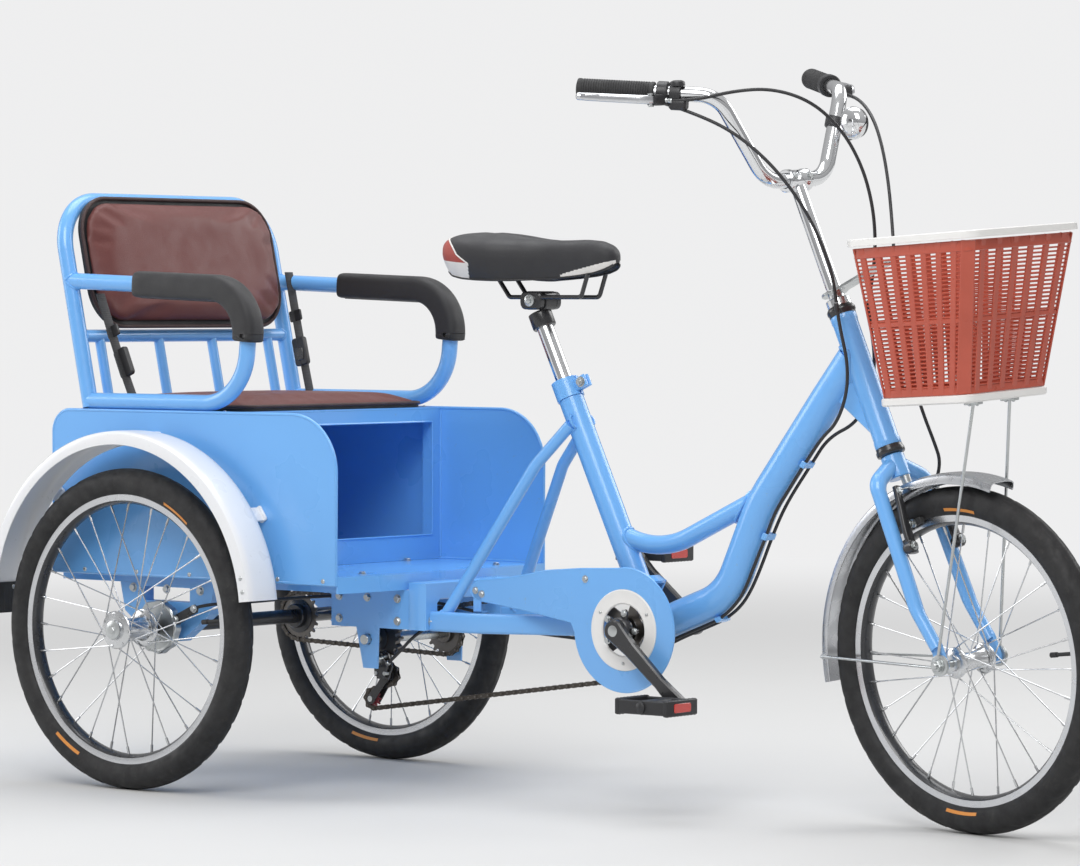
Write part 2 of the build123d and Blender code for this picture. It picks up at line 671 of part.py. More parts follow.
# Box: side, back and floor sheets over two rails
INNER_HALF_W = BOX_HALF_W - PANEL_T
with BuildPart() as side_panels:
    for side in (-1, 1):
        with BuildSketch(upright(side * BOX_HALF_W)) as sheet:
            with BuildLine():
                Polyline(
                    (BOX_REAR_X, BOX_TOP_Z - PANEL_REAR_R),
                    (BOX_REAR_X, BOX_BASE_Z),
                    (BOX_FRONT_X, BOX_BASE_Z),
                    (BOX_FRONT_X, BOX_TOP_Z - PANEL_FRONT_R),
                )
                RadiusArc(
                    (BOX_FRONT_X, BOX_TOP_Z - PANEL_FRONT_R),
                    (BOX_FRONT_X - PANEL_FRONT_R, BOX_TOP_Z),
                    -PANEL_FRONT_R,
                )
                Line((BOX_FRONT_X - PANEL_FRONT_R, BOX_TOP_Z), (BOX_REAR_X + PANEL_REAR_R, BOX_TOP_Z))
                RadiusArc(
                    (BOX_REAR_X + PANEL_REAR_R, BOX_TOP_Z),
                    (BOX_REAR_X, BOX_TOP_Z - PANEL_REAR_R),
                    -PANEL_REAR_R,
                )
            make_face()
        extrude(sheet.sketch, amount=side * PANEL_T)
keep("side_panels", side_panels)

with BuildPart() as back_panel:
    with BuildSketch(across(BOX_REAR_X)) as sheet:
        with Locations((0, (FLOOR_Z + BOX_TOP_Z - PANEL_REAR_R) / 2)):
            Rectangle(2 * (INNER_HALF_W - SEAT_GAP), BOX_TOP_Z - PANEL_REAR_R - FLOOR_Z - 2 * SEAT_GAP)
    extrude(sheet.sketch, amount=PANEL_T)
keep("back_panel", back_panel)

FLOOR_HALF_W = INNER_HALF_W - SEAT_GAP
with BuildPart() as floor_pan:
    with BuildSketch(level(FLOOR_Z - FLOOR_T)) as sheet:
        with BuildLine():
            Polyline(
                (BOX_FRONT_X, -FLOOR_HALF_W),
                (BOX_REAR_X, -FLOOR_HALF_W),
                (BOX_REAR_X, FLOOR_HALF_W),
                (BOX_FRONT_X, FLOOR_HALF_W),
            )
            ThreePointArc(
                (BOX_FRONT_X, FLOOR_HALF_W), (BOX_FRONT_X + FLOOR_LIP_OUT, 0), (BOX_FRONT_X, -FLOOR_HALF_W)
            )
        make_face()
    extrude(sheet.sketch, amount=FLOOR_T)
    with BuildSketch(level(RAIL_BASE_Z)) as apron:
        with BuildLine():
            Polyline(
                (BOX_FRONT_X, FLOOR_HALF_W),
                (BOX_FRONT_X - FLOOR_T, FLOOR_HALF_W),
            )
            ThreePointArc(
                (BOX_FRONT_X - FLOOR_T, FLOOR_HALF_W),
                (BOX_FRONT_X + FLOOR_LIP_OUT - FLOOR_T, 0),
                (BOX_FRONT_X - FLOOR_T, -FLOOR_HALF_W),
            )
            Line((BOX_FRONT_X - FLOOR_T, -FLOOR_HALF_W), (BOX_FRONT_X, -FLOOR_HALF_W))
            ThreePointArc(
                (BOX_FRONT_X, FLOOR_HALF_W), (BOX_FRONT_X + FLOOR_LIP_OUT, 0), (BOX_FRONT_X, -FLOOR_HALF_W)
            )
        make_face()
    extrude(apron.sketch, amount=FLOOR_Z - FLOOR_T - RAIL_BASE_Z)
keep("floor_pan", floor_pan)

RAIL_FRONT_X = BOX_FRONT_X - FLOOR_T - 1.0
with BuildPart() as box_rails:
    with BuildSketch(level(RAIL_BASE_Z)) as rails:
        for side in (-1, 1):
            with Locations(((BOX_REAR_X + RAIL_FRONT_X) / 2, side * HANGER_Y)):
                Rectangle(RAIL_FRONT_X - BOX_REAR_X, RAIL_W)
        for x in (BOX_REAR_X + RAIL_W / 2, 0, SEAT_FRONT_X, RAIL_FRONT_X - RAIL_W / 2):
            with Locations((x, 0)):
                Rectangle(RAIL_W, 2 * HANGER_Y)
    extrude(rails.sketch, amount=FLOOR_Z - FLOOR_T - RAIL_BASE_Z - SEAT_GAP)
keep("box_rails", box_rails)

# Frame of the storage space's mouth, and the deck over it
MOUTH_HALF_W = INNER_HALF_W - SEAT_GAP
MOUTH_TOP_Z = BOX_TOP_Z - DECK_T - SEAT_GAP
MOUTH_SILL_Z = 374.0
with BuildPart() as seat_box_frame:
    with BuildSketch(across(SEAT_FRONT_X - SEAT_TUBE_SQ / 2)) as ring:
        with Locations((0, (FLOOR_Z + SEAT_GAP + MOUTH_TOP_Z) / 2)):
            Rectangle(2 * MOUTH_HALF_W, MOUTH_TOP_Z - FLOOR_Z - SEAT_GAP)
        with Locations((0, (MOUTH_SILL_Z + MOUTH_TOP_Z - SEAT_TUBE_SQ) / 2)):
            mouth_h = MOUTH_TOP_Z - SEAT_TUBE_SQ - MOUTH_SILL_Z
            Rectangle(2 * (MOUTH_HALF_W - SEAT_TUBE_SQ), mouth_h, mode=Mode.SUBTRACT)
    extrude(ring.sketch, amount=SEAT_TUBE_SQ)
keep("seat_box_frame", seat_box_frame)

DECK_FRONT_X = SEAT_FRONT_X + SEAT_TUBE_SQ / 2
BEND_X = BOX_REAR_X + PANEL_REAR_R
BEND_Z = BOX_TOP_Z - PANEL_REAR_R
with BuildPart() as deck:
    with BuildSketch(upright()) as sheet:
        with BuildLine():
            Polyline((DECK_FRONT_X, BOX_TOP_Z - DECK_T), (DECK_FRONT_X, BOX_TOP_Z), (BEND_X, BOX_TOP_Z))
            RadiusArc((BEND_X, BOX_TOP_Z), (BOX_REAR_X, BEND_Z), -PANEL_REAR_R)
            Line((BOX_REAR_X, BEND_Z), (BOX_REAR_X + DECK_T, BEND_Z))
            RadiusArc((BOX_REAR_X + DECK_T, BEND_Z), (BEND_X, BOX_TOP_Z - DECK_T), PANEL_REAR_R - DECK_T)
            Line((BEND_X, BOX_TOP_Z - DECK_T), (DECK_FRONT_X, BOX_TOP_Z - DECK_T))
        make_face()
    extrude(sheet.sketch, amount=MOUTH_HALF_W, both=True)
keep("deck", deck)

# Cushion and backrest
BELT_Y = BACK_HALF_W - (BENCH_TUBE_D + STRAP_T) / 2
with BuildPart() as bench_cushion:
    with BuildSketch(level(BOX_TOP_Z + SEAT_GAP)) as outline:
        rear_x = BACK_FOOT_X + CUSHION_BACK_GAP
        with Locations(((rear_x + DECK_FRONT_X) / 2, 0)):
            RectangleRounded(DECK_FRONT_X - rear_x, 2 * CUSHION_HALF_W, CUSHION_CORNER_R)
    extrude(outline.sketch, amount=CUSHION_T)
    chamfer(bench_cushion.faces().sort_by(Axis.Z)[-1].edges(), CUSHION_EDGE)
keep("bench_cushion", bench_cushion)

BACK_SIN = sin(radians(BACK_LEAN))
BACK_COS = cos(radians(BACK_LEAN))
BACK_FOOT_Z = BOX_TOP_Z + 3.2
BACK_PLANE = Plane(
    (REAR_X + BACK_FOOT_X, 0, BACK_FOOT_Z), x_dir=(0, 1, 0), z_dir=(BACK_COS, 0, BACK_SIN)
)
BACK_H = (BACK_TOP_Z - BACK_FOOT_Z) / BACK_COS - BENCH_TUBE_D / 2
BACK_RAIL_H = (BACK_RAIL_Z - BACK_FOOT_Z) / BACK_COS
BACK_POST_Y = BACK_HALF_W
BACK_RAIL_D = 20.0
BACK_BAR_D = 16.0
BACK_BARS_Y = (-196, -62, 62, 196)
with BuildPart() as backrest_frame:
    corners = [(-BACK_POST_Y, 0), (-BACK_POST_Y, BACK_H), (BACK_POST_Y, BACK_H), (BACK_POST_Y, 0)]
    tube(BACK_PLANE, corners, [BACK_CORNER_R, BACK_CORNER_R], BENCH_TUBE_D)
    tube(BACK_PLANE, [(-BACK_POST_Y, BACK_RAIL_H), (BACK_POST_Y, BACK_RAIL_H)], [], BACK_RAIL_D)
    for y in BACK_BARS_Y:
        tube(BACK_PLANE, [(y, 0), (y, BACK_RAIL_H)], [], BACK_BAR_D)
keep("backrest_frame", backrest_frame)

with BuildPart() as backrest_cushion:
    with BuildSketch(BACK_PLANE.offset(BENCH_TUBE_D / 2 + PART_GAP)) as outline:
        with Locations((0, (BACK_RAIL_H + BACK_H) / 2 + 5)):
            RectangleRounded(2 * (BELT_Y - STRAP_T) - 2, BACK_H - BACK_RAIL_H - 4, BACK_CORNER_R - 16)
    extrude(outline.sketch, amount=BACK_PAD_T)
keep("backrest_cushion", backrest_cushion)

# Armrests: one bent tube a side, with a pad over its front half
ARM_REAR_Z = ARM_Z + ARM_DROP
ARM_REAR_X = BACK_FOOT_X - (ARM_REAR_Z - BACK_FOOT_Z) * BACK_SIN / BACK_COS
ARM_LOW_Z = BOX_TOP_Z + BENCH_TUBE_D / 2 + PART_GAP
ARM_FRONT_Z = ARM_Z - 6
ARM_RAKE = 16.0
ARM_POINTS = [
    (ARM_REAR_X, ARM_REAR_Z),
    (ARM_FRONT_X, ARM_FRONT_Z),
    (ARM_FRONT_X - ARM_RAKE, ARM_LOW_Z),
    (BACK_FOOT_X, ARM_LOW_Z),
]
with BuildPart() as armrests:
    for side in (-1, 1):
        tube(upright(side * BACK_POST_Y), ARM_POINTS, [ARM_BEND_R, ARM_LOW_BEND_R], BENCH_TUBE_D)
    tube(BACK_PLANE, corners, [BACK_CORNER_R, BACK_CORNER_R], BENCH_TUBE_D + 2 * SEAT_GAP, mode=Mode.SUBTRACT)
keep("armrests", armrests)

PAD_REAR_X = -44.0
ARM_SLOPE = (ARM_REAR_Z - ARM_FRONT_Z) / (ARM_FRONT_X - ARM_REAR_X)
PAD_REAR_Z = ARM_REAR_Z - ARM_SLOPE * (PAD_REAR_X - ARM_REAR_X)
PAD_DROP = 78.0
PAD_END = (ARM_FRONT_X - ARM_RAKE * PAD_DROP / (ARM_FRONT_Z - ARM_LOW_Z), ARM_FRONT_Z - PAD_DROP)
with BuildPart() as armrest_pads:
    for side in (-1, 1):
        pad = [(PAD_REAR_X, PAD_REAR_Z), ARM_POINTS[1], PAD_END]
        tube(upright(side * BACK_POST_Y), pad, [ARM_BEND_R], ARM_PAD_D)
        tube(upright(side * BACK_POST_Y), pad, [ARM_BEND_R], BENCH_TUBE_D + SEAT_GAP, mode=Mode.SUBTRACT)
keep("armrest_pads", armrest_pads)

# Lap straps: from the posts down to the cushion, each with its buckle
BELTS = [(-1, (-140, 756), (-64, 584)), (1, (-150, 792), (-100, 584))]
with BuildPart() as seat_belts:
    for side, top, low in BELTS:
        lean = degrees(atan2(low[1] - top[1], low[0] - top[0]))
        run = sqrt((low[0] - top[0]) ** 2 + (low[1] - top[1]) ** 2)
        with BuildSketch(upright(side * BELT_Y)) as strap:
            with Locations(((top[0] + low[0]) / 2, (top[1] + low[1]) / 2)):
                Rectangle(run, STRAP_W / 2, rotation=lean)
        extrude(strap.sketch, amount=STRAP_T / 2, both=True)
keep("seat_belts", seat_belts)

# Rear mudguards, their stays to the box, and the flaps at their rear ends
GUARD_START = degrees(asin((GUARD_FRONT_Z - GUARD_Z) / GUARD_R))
GUARD_ARC = 180 - 2 * GUARD_START


def ring_sector(plane, outer, inner, start, arc, low, length):
    """Part of a flat-sided ring between two radii, square to a plane, from low along its normal."""
    steps = ceil(arc / GUARD_STEP)
    angles = [radians(start + arc * step / steps) for step in range(steps + 1)]
    edge = [(outer * cos(angle), outer * sin(angle)) for angle in angles]
    edge += [(inner * cos(angle), inner * sin(angle)) for angle in reversed(angles)]
    with BuildSketch(plane.offset(low)) as section:
        with BuildLine():
            Polyline(*edge, close=True)
        make_face()
    extrude(section.sketch, amount=length)


def mudguard(spin, radius, half_w, lip, start, arc):
    """A trough-shaped guard about the local Z of spin, from the angle start on over an arc."""
    ring_sector(spin, radius, radius - GUARD_T, start, arc, -half_w, 2 * half_w)
    for low in (-half_w, half_w - GUARD_T):
        ring_sector(spin, radius, radius - lip, start, arc, low, GUARD_T)


TAB_R = GUARD_R - GUARD_LIP / 2
GUARD_TAB_ANGLES = (35, 90, 140)
GUARD_TAB_T = 14.0
GUARD_TAB_W = 26.0
with BuildPart() as rear_mudguards:
    for side in (-1, 1):
        about = Plane((REAR_X, side * WHEEL_Y, GUARD_Z), x_dir=(1, 0, 0), z_dir=(0, -1, 0))
        mudguard(about, GUARD_R, GUARD_HALF_W, GUARD_LIP, GUARD_START, GUARD_ARC)
        for angle in GUARD_TAB_ANGLES:
            with BuildSketch(upright(side * (BOX_HALF_W + SEAT_GAP))) as tab:
                with Locations((TAB_R * cos(radians(angle)), GUARD_Z + TAB_R * sin(radians(angle)))):
                    Rectangle(GUARD_TAB_T, GUARD_TAB_W, rotation=angle)
            extrude(tab.sketch, amount=-side * (WHEEL_Y - GUARD_HALF_W - BOX_HALF_W - SEAT_GAP))
keep("rear_mudguards", rear_mudguards)

FLAP_TOP_Z = GUARD_FRONT_Z + 6
FLAP_GAP = 0.6
FLAP_X = FLAP_GAP - sqrt((GUARD_R - GUARD_T) ** 2 - (FLAP_TOP_Z - GUARD_Z) ** 2)
with BuildPart() as mudguard_flaps:
    for side in (-1, 1):
        with BuildSketch(across(FLAP_X)) as flap:
            with Locations((side * WHEEL_Y, FLAP_TOP_Z - FLAP_L / 2)):
                Rectangle(2 * GUARD_HALF_W - 8, FLAP_L)
            chamfer(flap.vertices(), FLAP_CORNER)
        extrude(flap.sketch, amount=FLAP_T)
keep("mudguard_flaps", mudguard_flaps)

# Drive: jackshaft under the box, driven from the cranks on the right and driving the axle on the left
PLATE_Y = 100.0
PLATE_REAR_X = 228.0
PLATE_T = 3.0
PLATE_EAR_L = 22.0
PLATE_EAR_DROP = 44.0
PLATE_FOOT_REAR = 8.0
PLATE_FOOT_FRONT = 20.0
with BuildPart() as drive_plates:
    for side in (-1, 1):
        with BuildSketch(upright(side * PLATE_Y)) as plate:
            with BuildLine():
                Polyline(
                    (PLATE_REAR_X, RAIL_BASE_Z - SEAT_GAP),
                    (PLATE_REAR_X, CROSS_BASE_Z),
                    (JACK_X - PLATE_EAR_L, CROSS_BASE_Z),
                    (JACK_X - PLATE_FOOT_REAR, JACK_Z - PLATE_EAR_DROP),
                    (JACK_X + PLATE_FOOT_FRONT, JACK_Z - PLATE_EAR_DROP),
                    (JACK_X + PLATE_EAR_L, CROSS_BASE_Z),
                    (REAR_CROSS_X - REAR_CROSS_W / 2 - SEAT_GAP, CROSS_BASE_Z),
                    (REAR_CROSS_X - REAR_CROSS_W / 2 - SEAT_GAP, RAIL_BASE_Z - SEAT_GAP),
                    close=True,
                )
            make_face()
            with Locations((JACK_X, JACK_Z)):
                round_outline(JACK_D / 2 + SEAT_GAP, Mode.SUBTRACT)
        extrude(plate.sketch, amount=PLATE_T / 2, both=True)
keep("drive_plates", drive_plates)

COGS = [(-74, 38), (-68, 35), (-62, 32), (-56, 29), (-50, 26)]
COG_T = 2.2
COG_BODY_R = 20.0
COG_BODY_START = 44.0
COG_BODY_L = 34.0
JACK_HALF_L = PLATE_Y + 10
JACK_SPROCKET_R = 30.0
JACK_SPROCKET_T = 3.0
with BuildPart() as jackshaft:
    drum(upright(), JACK_X, JACK_Z, JACK_D / 2, -JACK_HALF_L, 2 * JACK_HALF_L)
    drum(upright(), JACK_X, JACK_Z, COG_BODY_R, COG_BODY_START, COG_BODY_L)
    for y, radius in COGS:
        drum(upright(), JACK_X, JACK_Z, radius - CHAIN_H / 2 - 1, -y - COG_T / 2, COG_T)
    drum(upright(), JACK_X, JACK_Z, JACK_SPROCKET_R, -REAR_CHAIN_Y - JACK_SPROCKET_T / 2, JACK_SPROCKET_T)
keep("jackshaft", jackshaft)


def loop(circles, offset):
    """Points and arcs round circles of (x, z, radius): positive radii are passed anticlockwise."""
    contacts = []
    for (x0, z0, r0), (x1, z1, r1) in zip(circles, circles[1:] + circles[:1]):
        span = sqrt((x1 - x0) ** 2 + (z1 - z0) ** 2)
        heading = atan2(z1 - z0, x1 - x0) - asin((r1 - r0) / span)
        normal = (-sin(heading), cos(heading))
        contacts.append((
            (x0 - (r0 + offset) * normal[0], z0 - (r0 + offset) * normal[1]),
            (x1 - (r1 + offset) * normal[0], z1 - (r1 + offset) * normal[1]),
        ))
    for place, (x, z, radius) in enumerate(circles):
        arrive = contacts[place - 1][1]
        leave = contacts[place][0]
        Line(*contacts[place - 1])
        sign = 1 if radius > 0 else -1
        first = atan2((arrive[1] - z) * sign, (arrive[0] - x) * sign)
        last = atan2((leave[1] - z) * sign, (leave[0] - x) * sign)
        while (last - first) * sign < 0:
            last += sign * 2 * pi
        half = (first + last) / 2
        ThreePointArc(arrive, (x + (radius + offset) * cos(half), z + (radius + offset) * sin(half)), leave)


def chain(circles, y):
    """A closed chain over its sprockets, in the open part."""
    with BuildSketch(upright(y)) as band:
        with BuildLine():
            loop(circles, CHAIN_H / 2)
        make_face()
        with BuildLine():
            loop(circles, -CHAIN_H / 2)
        make_face(mode=Mode.SUBTRACT)
    extrude(band.sketch, amount=CHAIN_W / 2, both=True)


GUIDE = (312.0, 176.0, 15.0)
JOCKEY = (280.0, 138.0, 15.0)
FRONT_LOOP = [
    (BRACKET_X, BRACKET_Z, RING_R),
    (JACK_X, JACK_Z, COGS[2][1]),
    (GUIDE[0], GUIDE[1], -GUIDE[2]),
    JOCKEY,
]
REAR_LOOP = [(JACK_X, JACK_Z, JACK_SPROCKET_R + CHAIN_H / 2), (0, TYRE_R, AXLE_SPROCKET_R)]
with BuildPart() as drive_chain:
    chain(FRONT_LOOP, CHAIN_Y)
keep("drive_chain", drive_chain)

with BuildPart() as axle_chain:
    chain(REAR_LOOP, REAR_CHAIN_Y)
keep("axle_chain", axle_chain)

SHIFTER_BODY = [(300, 170), (296, 206), (318, 216), (334, 190), (324, 168)]
SHIFTER_BODY_T = 11.0
SHIFTER_BODY_OUT = 22.0
SHIFTER_PIVOT = (312.0, 199.0)
SHIFTER_PIVOT_R = 8.0
CAGE_OUT = 8.0
CAGE_W = 16.0
CAGE_T = 2.5
with BuildPart() as derailleur:
    for x, z, radius in (GUIDE, JOCKEY):
        drum(upright(), x, z, radius - CHAIN_H / 2 - 0.5, -CHAIN_Y - 2, 4)
        drum(upright(), x, z, 5, -CHAIN_Y - 9, 18)
    for y in (CHAIN_Y - CAGE_OUT, CHAIN_Y + CAGE_OUT):
        with BuildSketch(upright(y)) as cage:
            with Locations(((GUIDE[0] + JOCKEY[0]) / 2, (GUIDE[1] + JOCKEY[1]) / 2)):
                SlotCenterToCenter(
                    sqrt((GUIDE[0] - JOCKEY[0]) ** 2 + (GUIDE[1] - JOCKEY[1]) ** 2),
                    CAGE_W,
                    rotation=degrees(atan2(GUIDE[1] - JOCKEY[1], GUIDE[0] - JOCKEY[0])),
                )
        extrude(cage.sketch, amount=CAGE_T / 2, both=True)
    with BuildSketch(upright(CHAIN_Y - SHIFTER_BODY_OUT)) as body:
        with BuildLine():
            Polyline(*SHIFTER_BODY, close=True)
        make_face()
    extrude(body.sketch, amount=SHIFTER_BODY_T / 2, both=True)
    drum(upright(), GUIDE[0], GUIDE[1], 7, -CHAIN_Y + 8, 12)
    pivot_y = -CHAIN_Y + SHIFTER_BODY_OUT + 2
    drum(upright(), *SHIFTER_PIVOT, SHIFTER_PIVOT_R, pivot_y, PLATE_Y - PLATE_T / 2 - SEAT_GAP - pivot_y)
keep("derailleur", derailleur)

# Chain cover with its pale ring
COVER_T = 2.0
COVER_TIP = (486.0, 313.0)
COVER_HOLE_R = 60.0
COVER_SIDES = 28
COVER_ARM_ANGLE = 62.0
COVER_ARM_R = 87.0
COVER_ARM_W = 16.0
COVER_ARM_T = 4.0
COVER_TAB_W = 14.0
with BuildPart() as chain_cover:
    with BuildSketch(upright(COVER_Y)) as outline:
        with Locations((BRACKET_X, BRACKET_Z)):
            RegularPolygon(COVER_R, COVER_SIDES)
        with BuildLine():
            Polyline(
                (BRACKET_X + 8, BRACKET_Z + COVER_R - 4),
                (BRACKET_X - 150, BRACKET_Z + COVER_R - 10),
                (COVER_TIP[0] + 12, COVER_TIP[1] + 16),
                (COVER_TIP[0] - 4, COVER_TIP[1]),
                (COVER_TIP[0] + 8, COVER_TIP[1] - 14),
                (BRACKET_X - 78, BRACKET_Z + 4),
                close=True,
            )
        make_face()
        with Locations((BRACKET_X, BRACKET_Z)):
            RegularPolygon(COVER_HOLE_R / cos(pi / COVER_SIDES), COVER_SIDES, mode=Mode.SUBTRACT)
    extrude(outline.sketch, amount=COVER_T / 2, both=True)
    with BuildSketch(upright(-SHELL_HALF_W - SEAT_GAP)) as bracket:
        with Locations((BRACKET_X, BRACKET_Z)):
            with Locations(Rotation(0, 0, COVER_ARM_ANGLE)):
                with Locations((COVER_ARM_R / 2, 0)):
                    Rectangle(COVER_ARM_R, COVER_ARM_W)
            round_outline(SHELL_D / 2)
            round_outline(CRANK_AXLE_D / 2 + 3, Mode.SUBTRACT)
    extrude(bracket.sketch, amount=COVER_ARM_T)
    with BuildSketch(upright(-SHELL_HALF_W - SEAT_GAP)) as post:
        with Locations((BRACKET_X, BRACKET_Z)):
            with Locations(Rotation(0, 0, COVER_ARM_ANGLE)):
                with Locations((COVER_ARM_R - COVER_ARM_T / 2, 0)):
                    Rectangle(COVER_ARM_T, COVER_ARM_W)
    extrude(post.sketch, amount=-COVER_Y - SHELL_HALF_W - SEAT_GAP)
    with BuildSketch(upright(COVER_Y)) as tab:
        with Locations((COVER_TIP[0] + 9, (COVER_TIP[1] + STAY_TOP_Z) / 2)):
            Rectangle(COVER_TAB_W, COVER_TIP[1] - STAY_TOP_Z)
    extrude(tab.sketch, amount=COVER_T / 2, both=True)
    with BuildSketch(level(STAY_TOP_Z)) as foot:
        with Locations((COVER_TIP[0] + 9, COVER_Y - COVER_TAB_W / 2)):
            Rectangle(COVER_TAB_W, COVER_TAB_W + COVER_T)
    extrude(foot.sketch, amount=COVER_T)
keep("chain_cover", chain_cover)

RING_INNER_R = 38.0
with BuildPart() as cover_ring:
    with BuildSketch(upright(COVER_Y)) as ring:
        with Locations((BRACKET_X, BRACKET_Z)):
            RegularPolygon(COVER_HOLE_R - SEAT_GAP, COVER_SIDES)
            RegularPolygon(RING_INNER_R, COVER_SIDES, mode=Mode.SUBTRACT)
    extrude(ring.sketch, amount=COVER_T / 2, both=True)
keep("cover_ring", cover_ring)

# Cranks, chainring and pedals
PEDAL_AXLE_D = 10.0
CRANK_T = 13.0
EYE_DX = CRANK_L * cos(radians(CRANK_ANGLE))
EYE_DZ = CRANK_L * sin(radians(CRANK_ANGLE))
with BuildPart() as crankset:
    shaft(upright(), BRACKET_X, BRACKET_Z, CRANK_AXLE_D / 2, -CRANK_Y, 2 * CRANK_Y)
    for side in (-1, 1):
        x = BRACKET_X - side * EYE_DX
        z = BRACKET_Z - side * EYE_DZ
        outer = -side * CRANK_Y
        drum(upright(), BRACKET_X, BRACKET_Z, 17, outer - CRANK_T / 2, CRANK_T)
        drum(upright(), x, z, 13, outer - CRANK_T / 2, CRANK_T)
        with BuildSketch(upright(side * CRANK_Y)) as arm:
            with BuildLine():
                ahead = Vector(x - BRACKET_X, z - BRACKET_Z).normalized()
                aside = Vector(-ahead.Y, ahead.X)
                near = Vector(BRACKET_X, BRACKET_Z)
                far = Vector(x, z)
                Polyline(near + aside * 14, near - aside * 14, far - aside * 11, far + aside * 11, close=True)
            make_face()
        extrude(arm.sketch, amount=CRANK_T / 2 - 1, both=True)
        shaft(upright(), x, z, PEDAL_AXLE_D / 2, outer, -side * (PEDAL_Y + 40 - CRANK_Y))
    drum(upright(), BRACKET_X, BRACKET_Z, RING_INNER_R - 5, -COVER_Y - 4, CRANK_Y + COVER_Y + 4)
keep("crankset", crankset)

with BuildPart() as chainring:
    with BuildSketch(upright(CHAIN_Y)) as ring:
        with Locations((BRACKET_X, BRACKET_Z)):
            RegularPolygon(RING_R - CHAIN_H / 2 - 0.5, MOST_SIDES)
            round_outline(CRANK_AXLE_D / 2 + SEAT_GAP, Mode.SUBTRACT)
            with PolarLocations(38, 5):
                RegularPolygon(12, LEAST_SIDES, mode=Mode.SUBTRACT)
    extrude(ring.sketch, amount=1.5, both=True)
    spacer = CHAIN_Y - COVER_Y - 4 - SEAT_GAP
    drum(upright(), BRACKET_X, BRACKET_Z, 20, -CHAIN_Y, spacer, bore=CRANK_AXLE_D / 2 + SEAT_GAP)
keep("chainring", chainring)

PEDAL_L = 94.0
PEDAL_W = 74.0
PEDAL_H = 24.0
for name, side in (("right", -1), ("left", 1)):
    x = BRACKET_X - side * EYE_DX
    z = BRACKET_Z - side * EYE_DZ
    with BuildPart() as pedal:
        with BuildSketch(upright(side * PEDAL_Y)) as body:
            with Locations((x, z)):
                Rectangle(PEDAL_L, PEDAL_H)
                chamfer(body.vertices(), 5)
        extrude(body.sketch, amount=PEDAL_W / 2, both=True)
        with BuildSketch(level(z)) as gaps:
            with Locations((x - 27, side * PEDAL_Y), (x + 27, side * PEDAL_Y)):
                Rectangle(26, PEDAL_W - 16)
        extrude(gaps.sketch, amount=PEDAL_H, both=True, mode=Mode.SUBTRACT)
        shaft(upright(), x, z, PEDAL_AXLE_D / 2 + RUN_FIT, -PEDAL_Y * 2, 4 * PEDAL_Y, mode=Mode.SUBTRACT)
    keep(f"pedal_{name}", pedal)


# Fork, front axle and stem, along the steering axis
CROWN_LOW = 541.0
FORK_TOP = HEAD_HIGH + CUP_T
BLADE_D = 24.0
BLADE_Y = 56.0
DROPOUT_T = 6.0
with BuildPart() as fork:
    shaft(across_fork(0), 0, 0, STEERER_D / 2, CROWN_LOW, FORK_TOP - CROWN_LOW)
    drum(across_fork(0), 0, 0, 17, CROWN_LOW, HEAD_LOW - CUP_T - PART_GAP - CROWN_LOW)
    for side in (-1, 1):
        blade = [
            (0, CROWN_LOW + 20, side * 8),
            (0, CROWN_LOW - 4, side * (BLADE_Y - 5)),
            (-2, FRONT_S + 84, side * BLADE_Y),
            (FRONT_F, FRONT_S + 24, side * BLADE_Y),
        ]
        tube(along_fork(), blade, [24, 90], BLADE_D)
        with BuildSketch(along_fork(side * BLADE_Y)) as dropout:
            with Locations((FRONT_F, FRONT_S + 14)):
                SlotCenterToCenter(30, 20, rotation=90)
        extrude(dropout.sketch, amount=DROPOUT_T / 2, both=True)
    shaft(FRONT_SPIN, 0, 0, FRONT_AXLE_D / 2 + SEAT_GAP, -90, 180, mode=Mode.SUBTRACT)
keep("fork", fork)

EYE_T = 2.5
EYE_R = 15.0
EYE_START = BLADE_Y + DROPOUT_T / 2 + SEAT_GAP
NUT_START = EYE_START + 2 * EYE_T + 2 * SEAT_GAP
with BuildPart() as front_axle:
    shaft(FRONT_SPIN, 0, 0, FRONT_AXLE_D / 2, -NUT_START - 12, 2 * NUT_START + 24)
    for start in (-NUT_START - 8, NUT_START):
        with BuildSketch(FRONT_SPIN.offset(start)) as nut:
            RegularPolygon(9, 6)
        extrude(nut.sketch, amount=8)
keep("front_axle", front_axle)

STEM_CLAMP_D = 33.0
STEM_CLAMP_W = 44.0
with BuildPart() as stem:
    drum(across_fork(0), 0, 0, LOCKNUT_D / 2, FORK_TOP + SEAT_GAP, LOCKNUT_T)
    drum(across_fork(0), 0, 0, BAR_D / 2, FORK_TOP + SEAT_GAP, CLAMP_S - FORK_TOP)
    drum(along_fork(), 0, CLAMP_S, STEM_CLAMP_D / 2, -STEM_CLAMP_W / 2, STEM_CLAMP_W)
    drum(along_fork(), 0, CLAMP_S, BAR_D / 2 + SEAT_GAP, -STEM_CLAMP_W, 2 * STEM_CLAMP_W, mode=Mode.SUBTRACT)
keep("stem", stem)

# Handlebar: a flat middle, risers and swept-back grips
CLAMP_X = -CLAMP_S * sin(radians(STEER_LEAN))
CLAMP_Z = CLAMP_S * cos(radians(STEER_LEAN))
BAR_FLAT = 61.0
RISE = (-24.0, 126.0, 67.0)
SWEEP = (-167.0, 18.0, 114.0)
BAR_BEND_R = 45.0


def bar_points(side):
    """Foot of the riser, its top and the bar's end, in the plane of the steered pieces."""
    foot = Vector(CLAMP_X, CLAMP_Z, -side * BAR_FLAT)
    top = foot + Vector(RISE[0], RISE[1], -side * RISE[2])
    end = top + Vector(SWEEP[0], SWEEP[1], -side * SWEEP[2])
    return foot, top, end


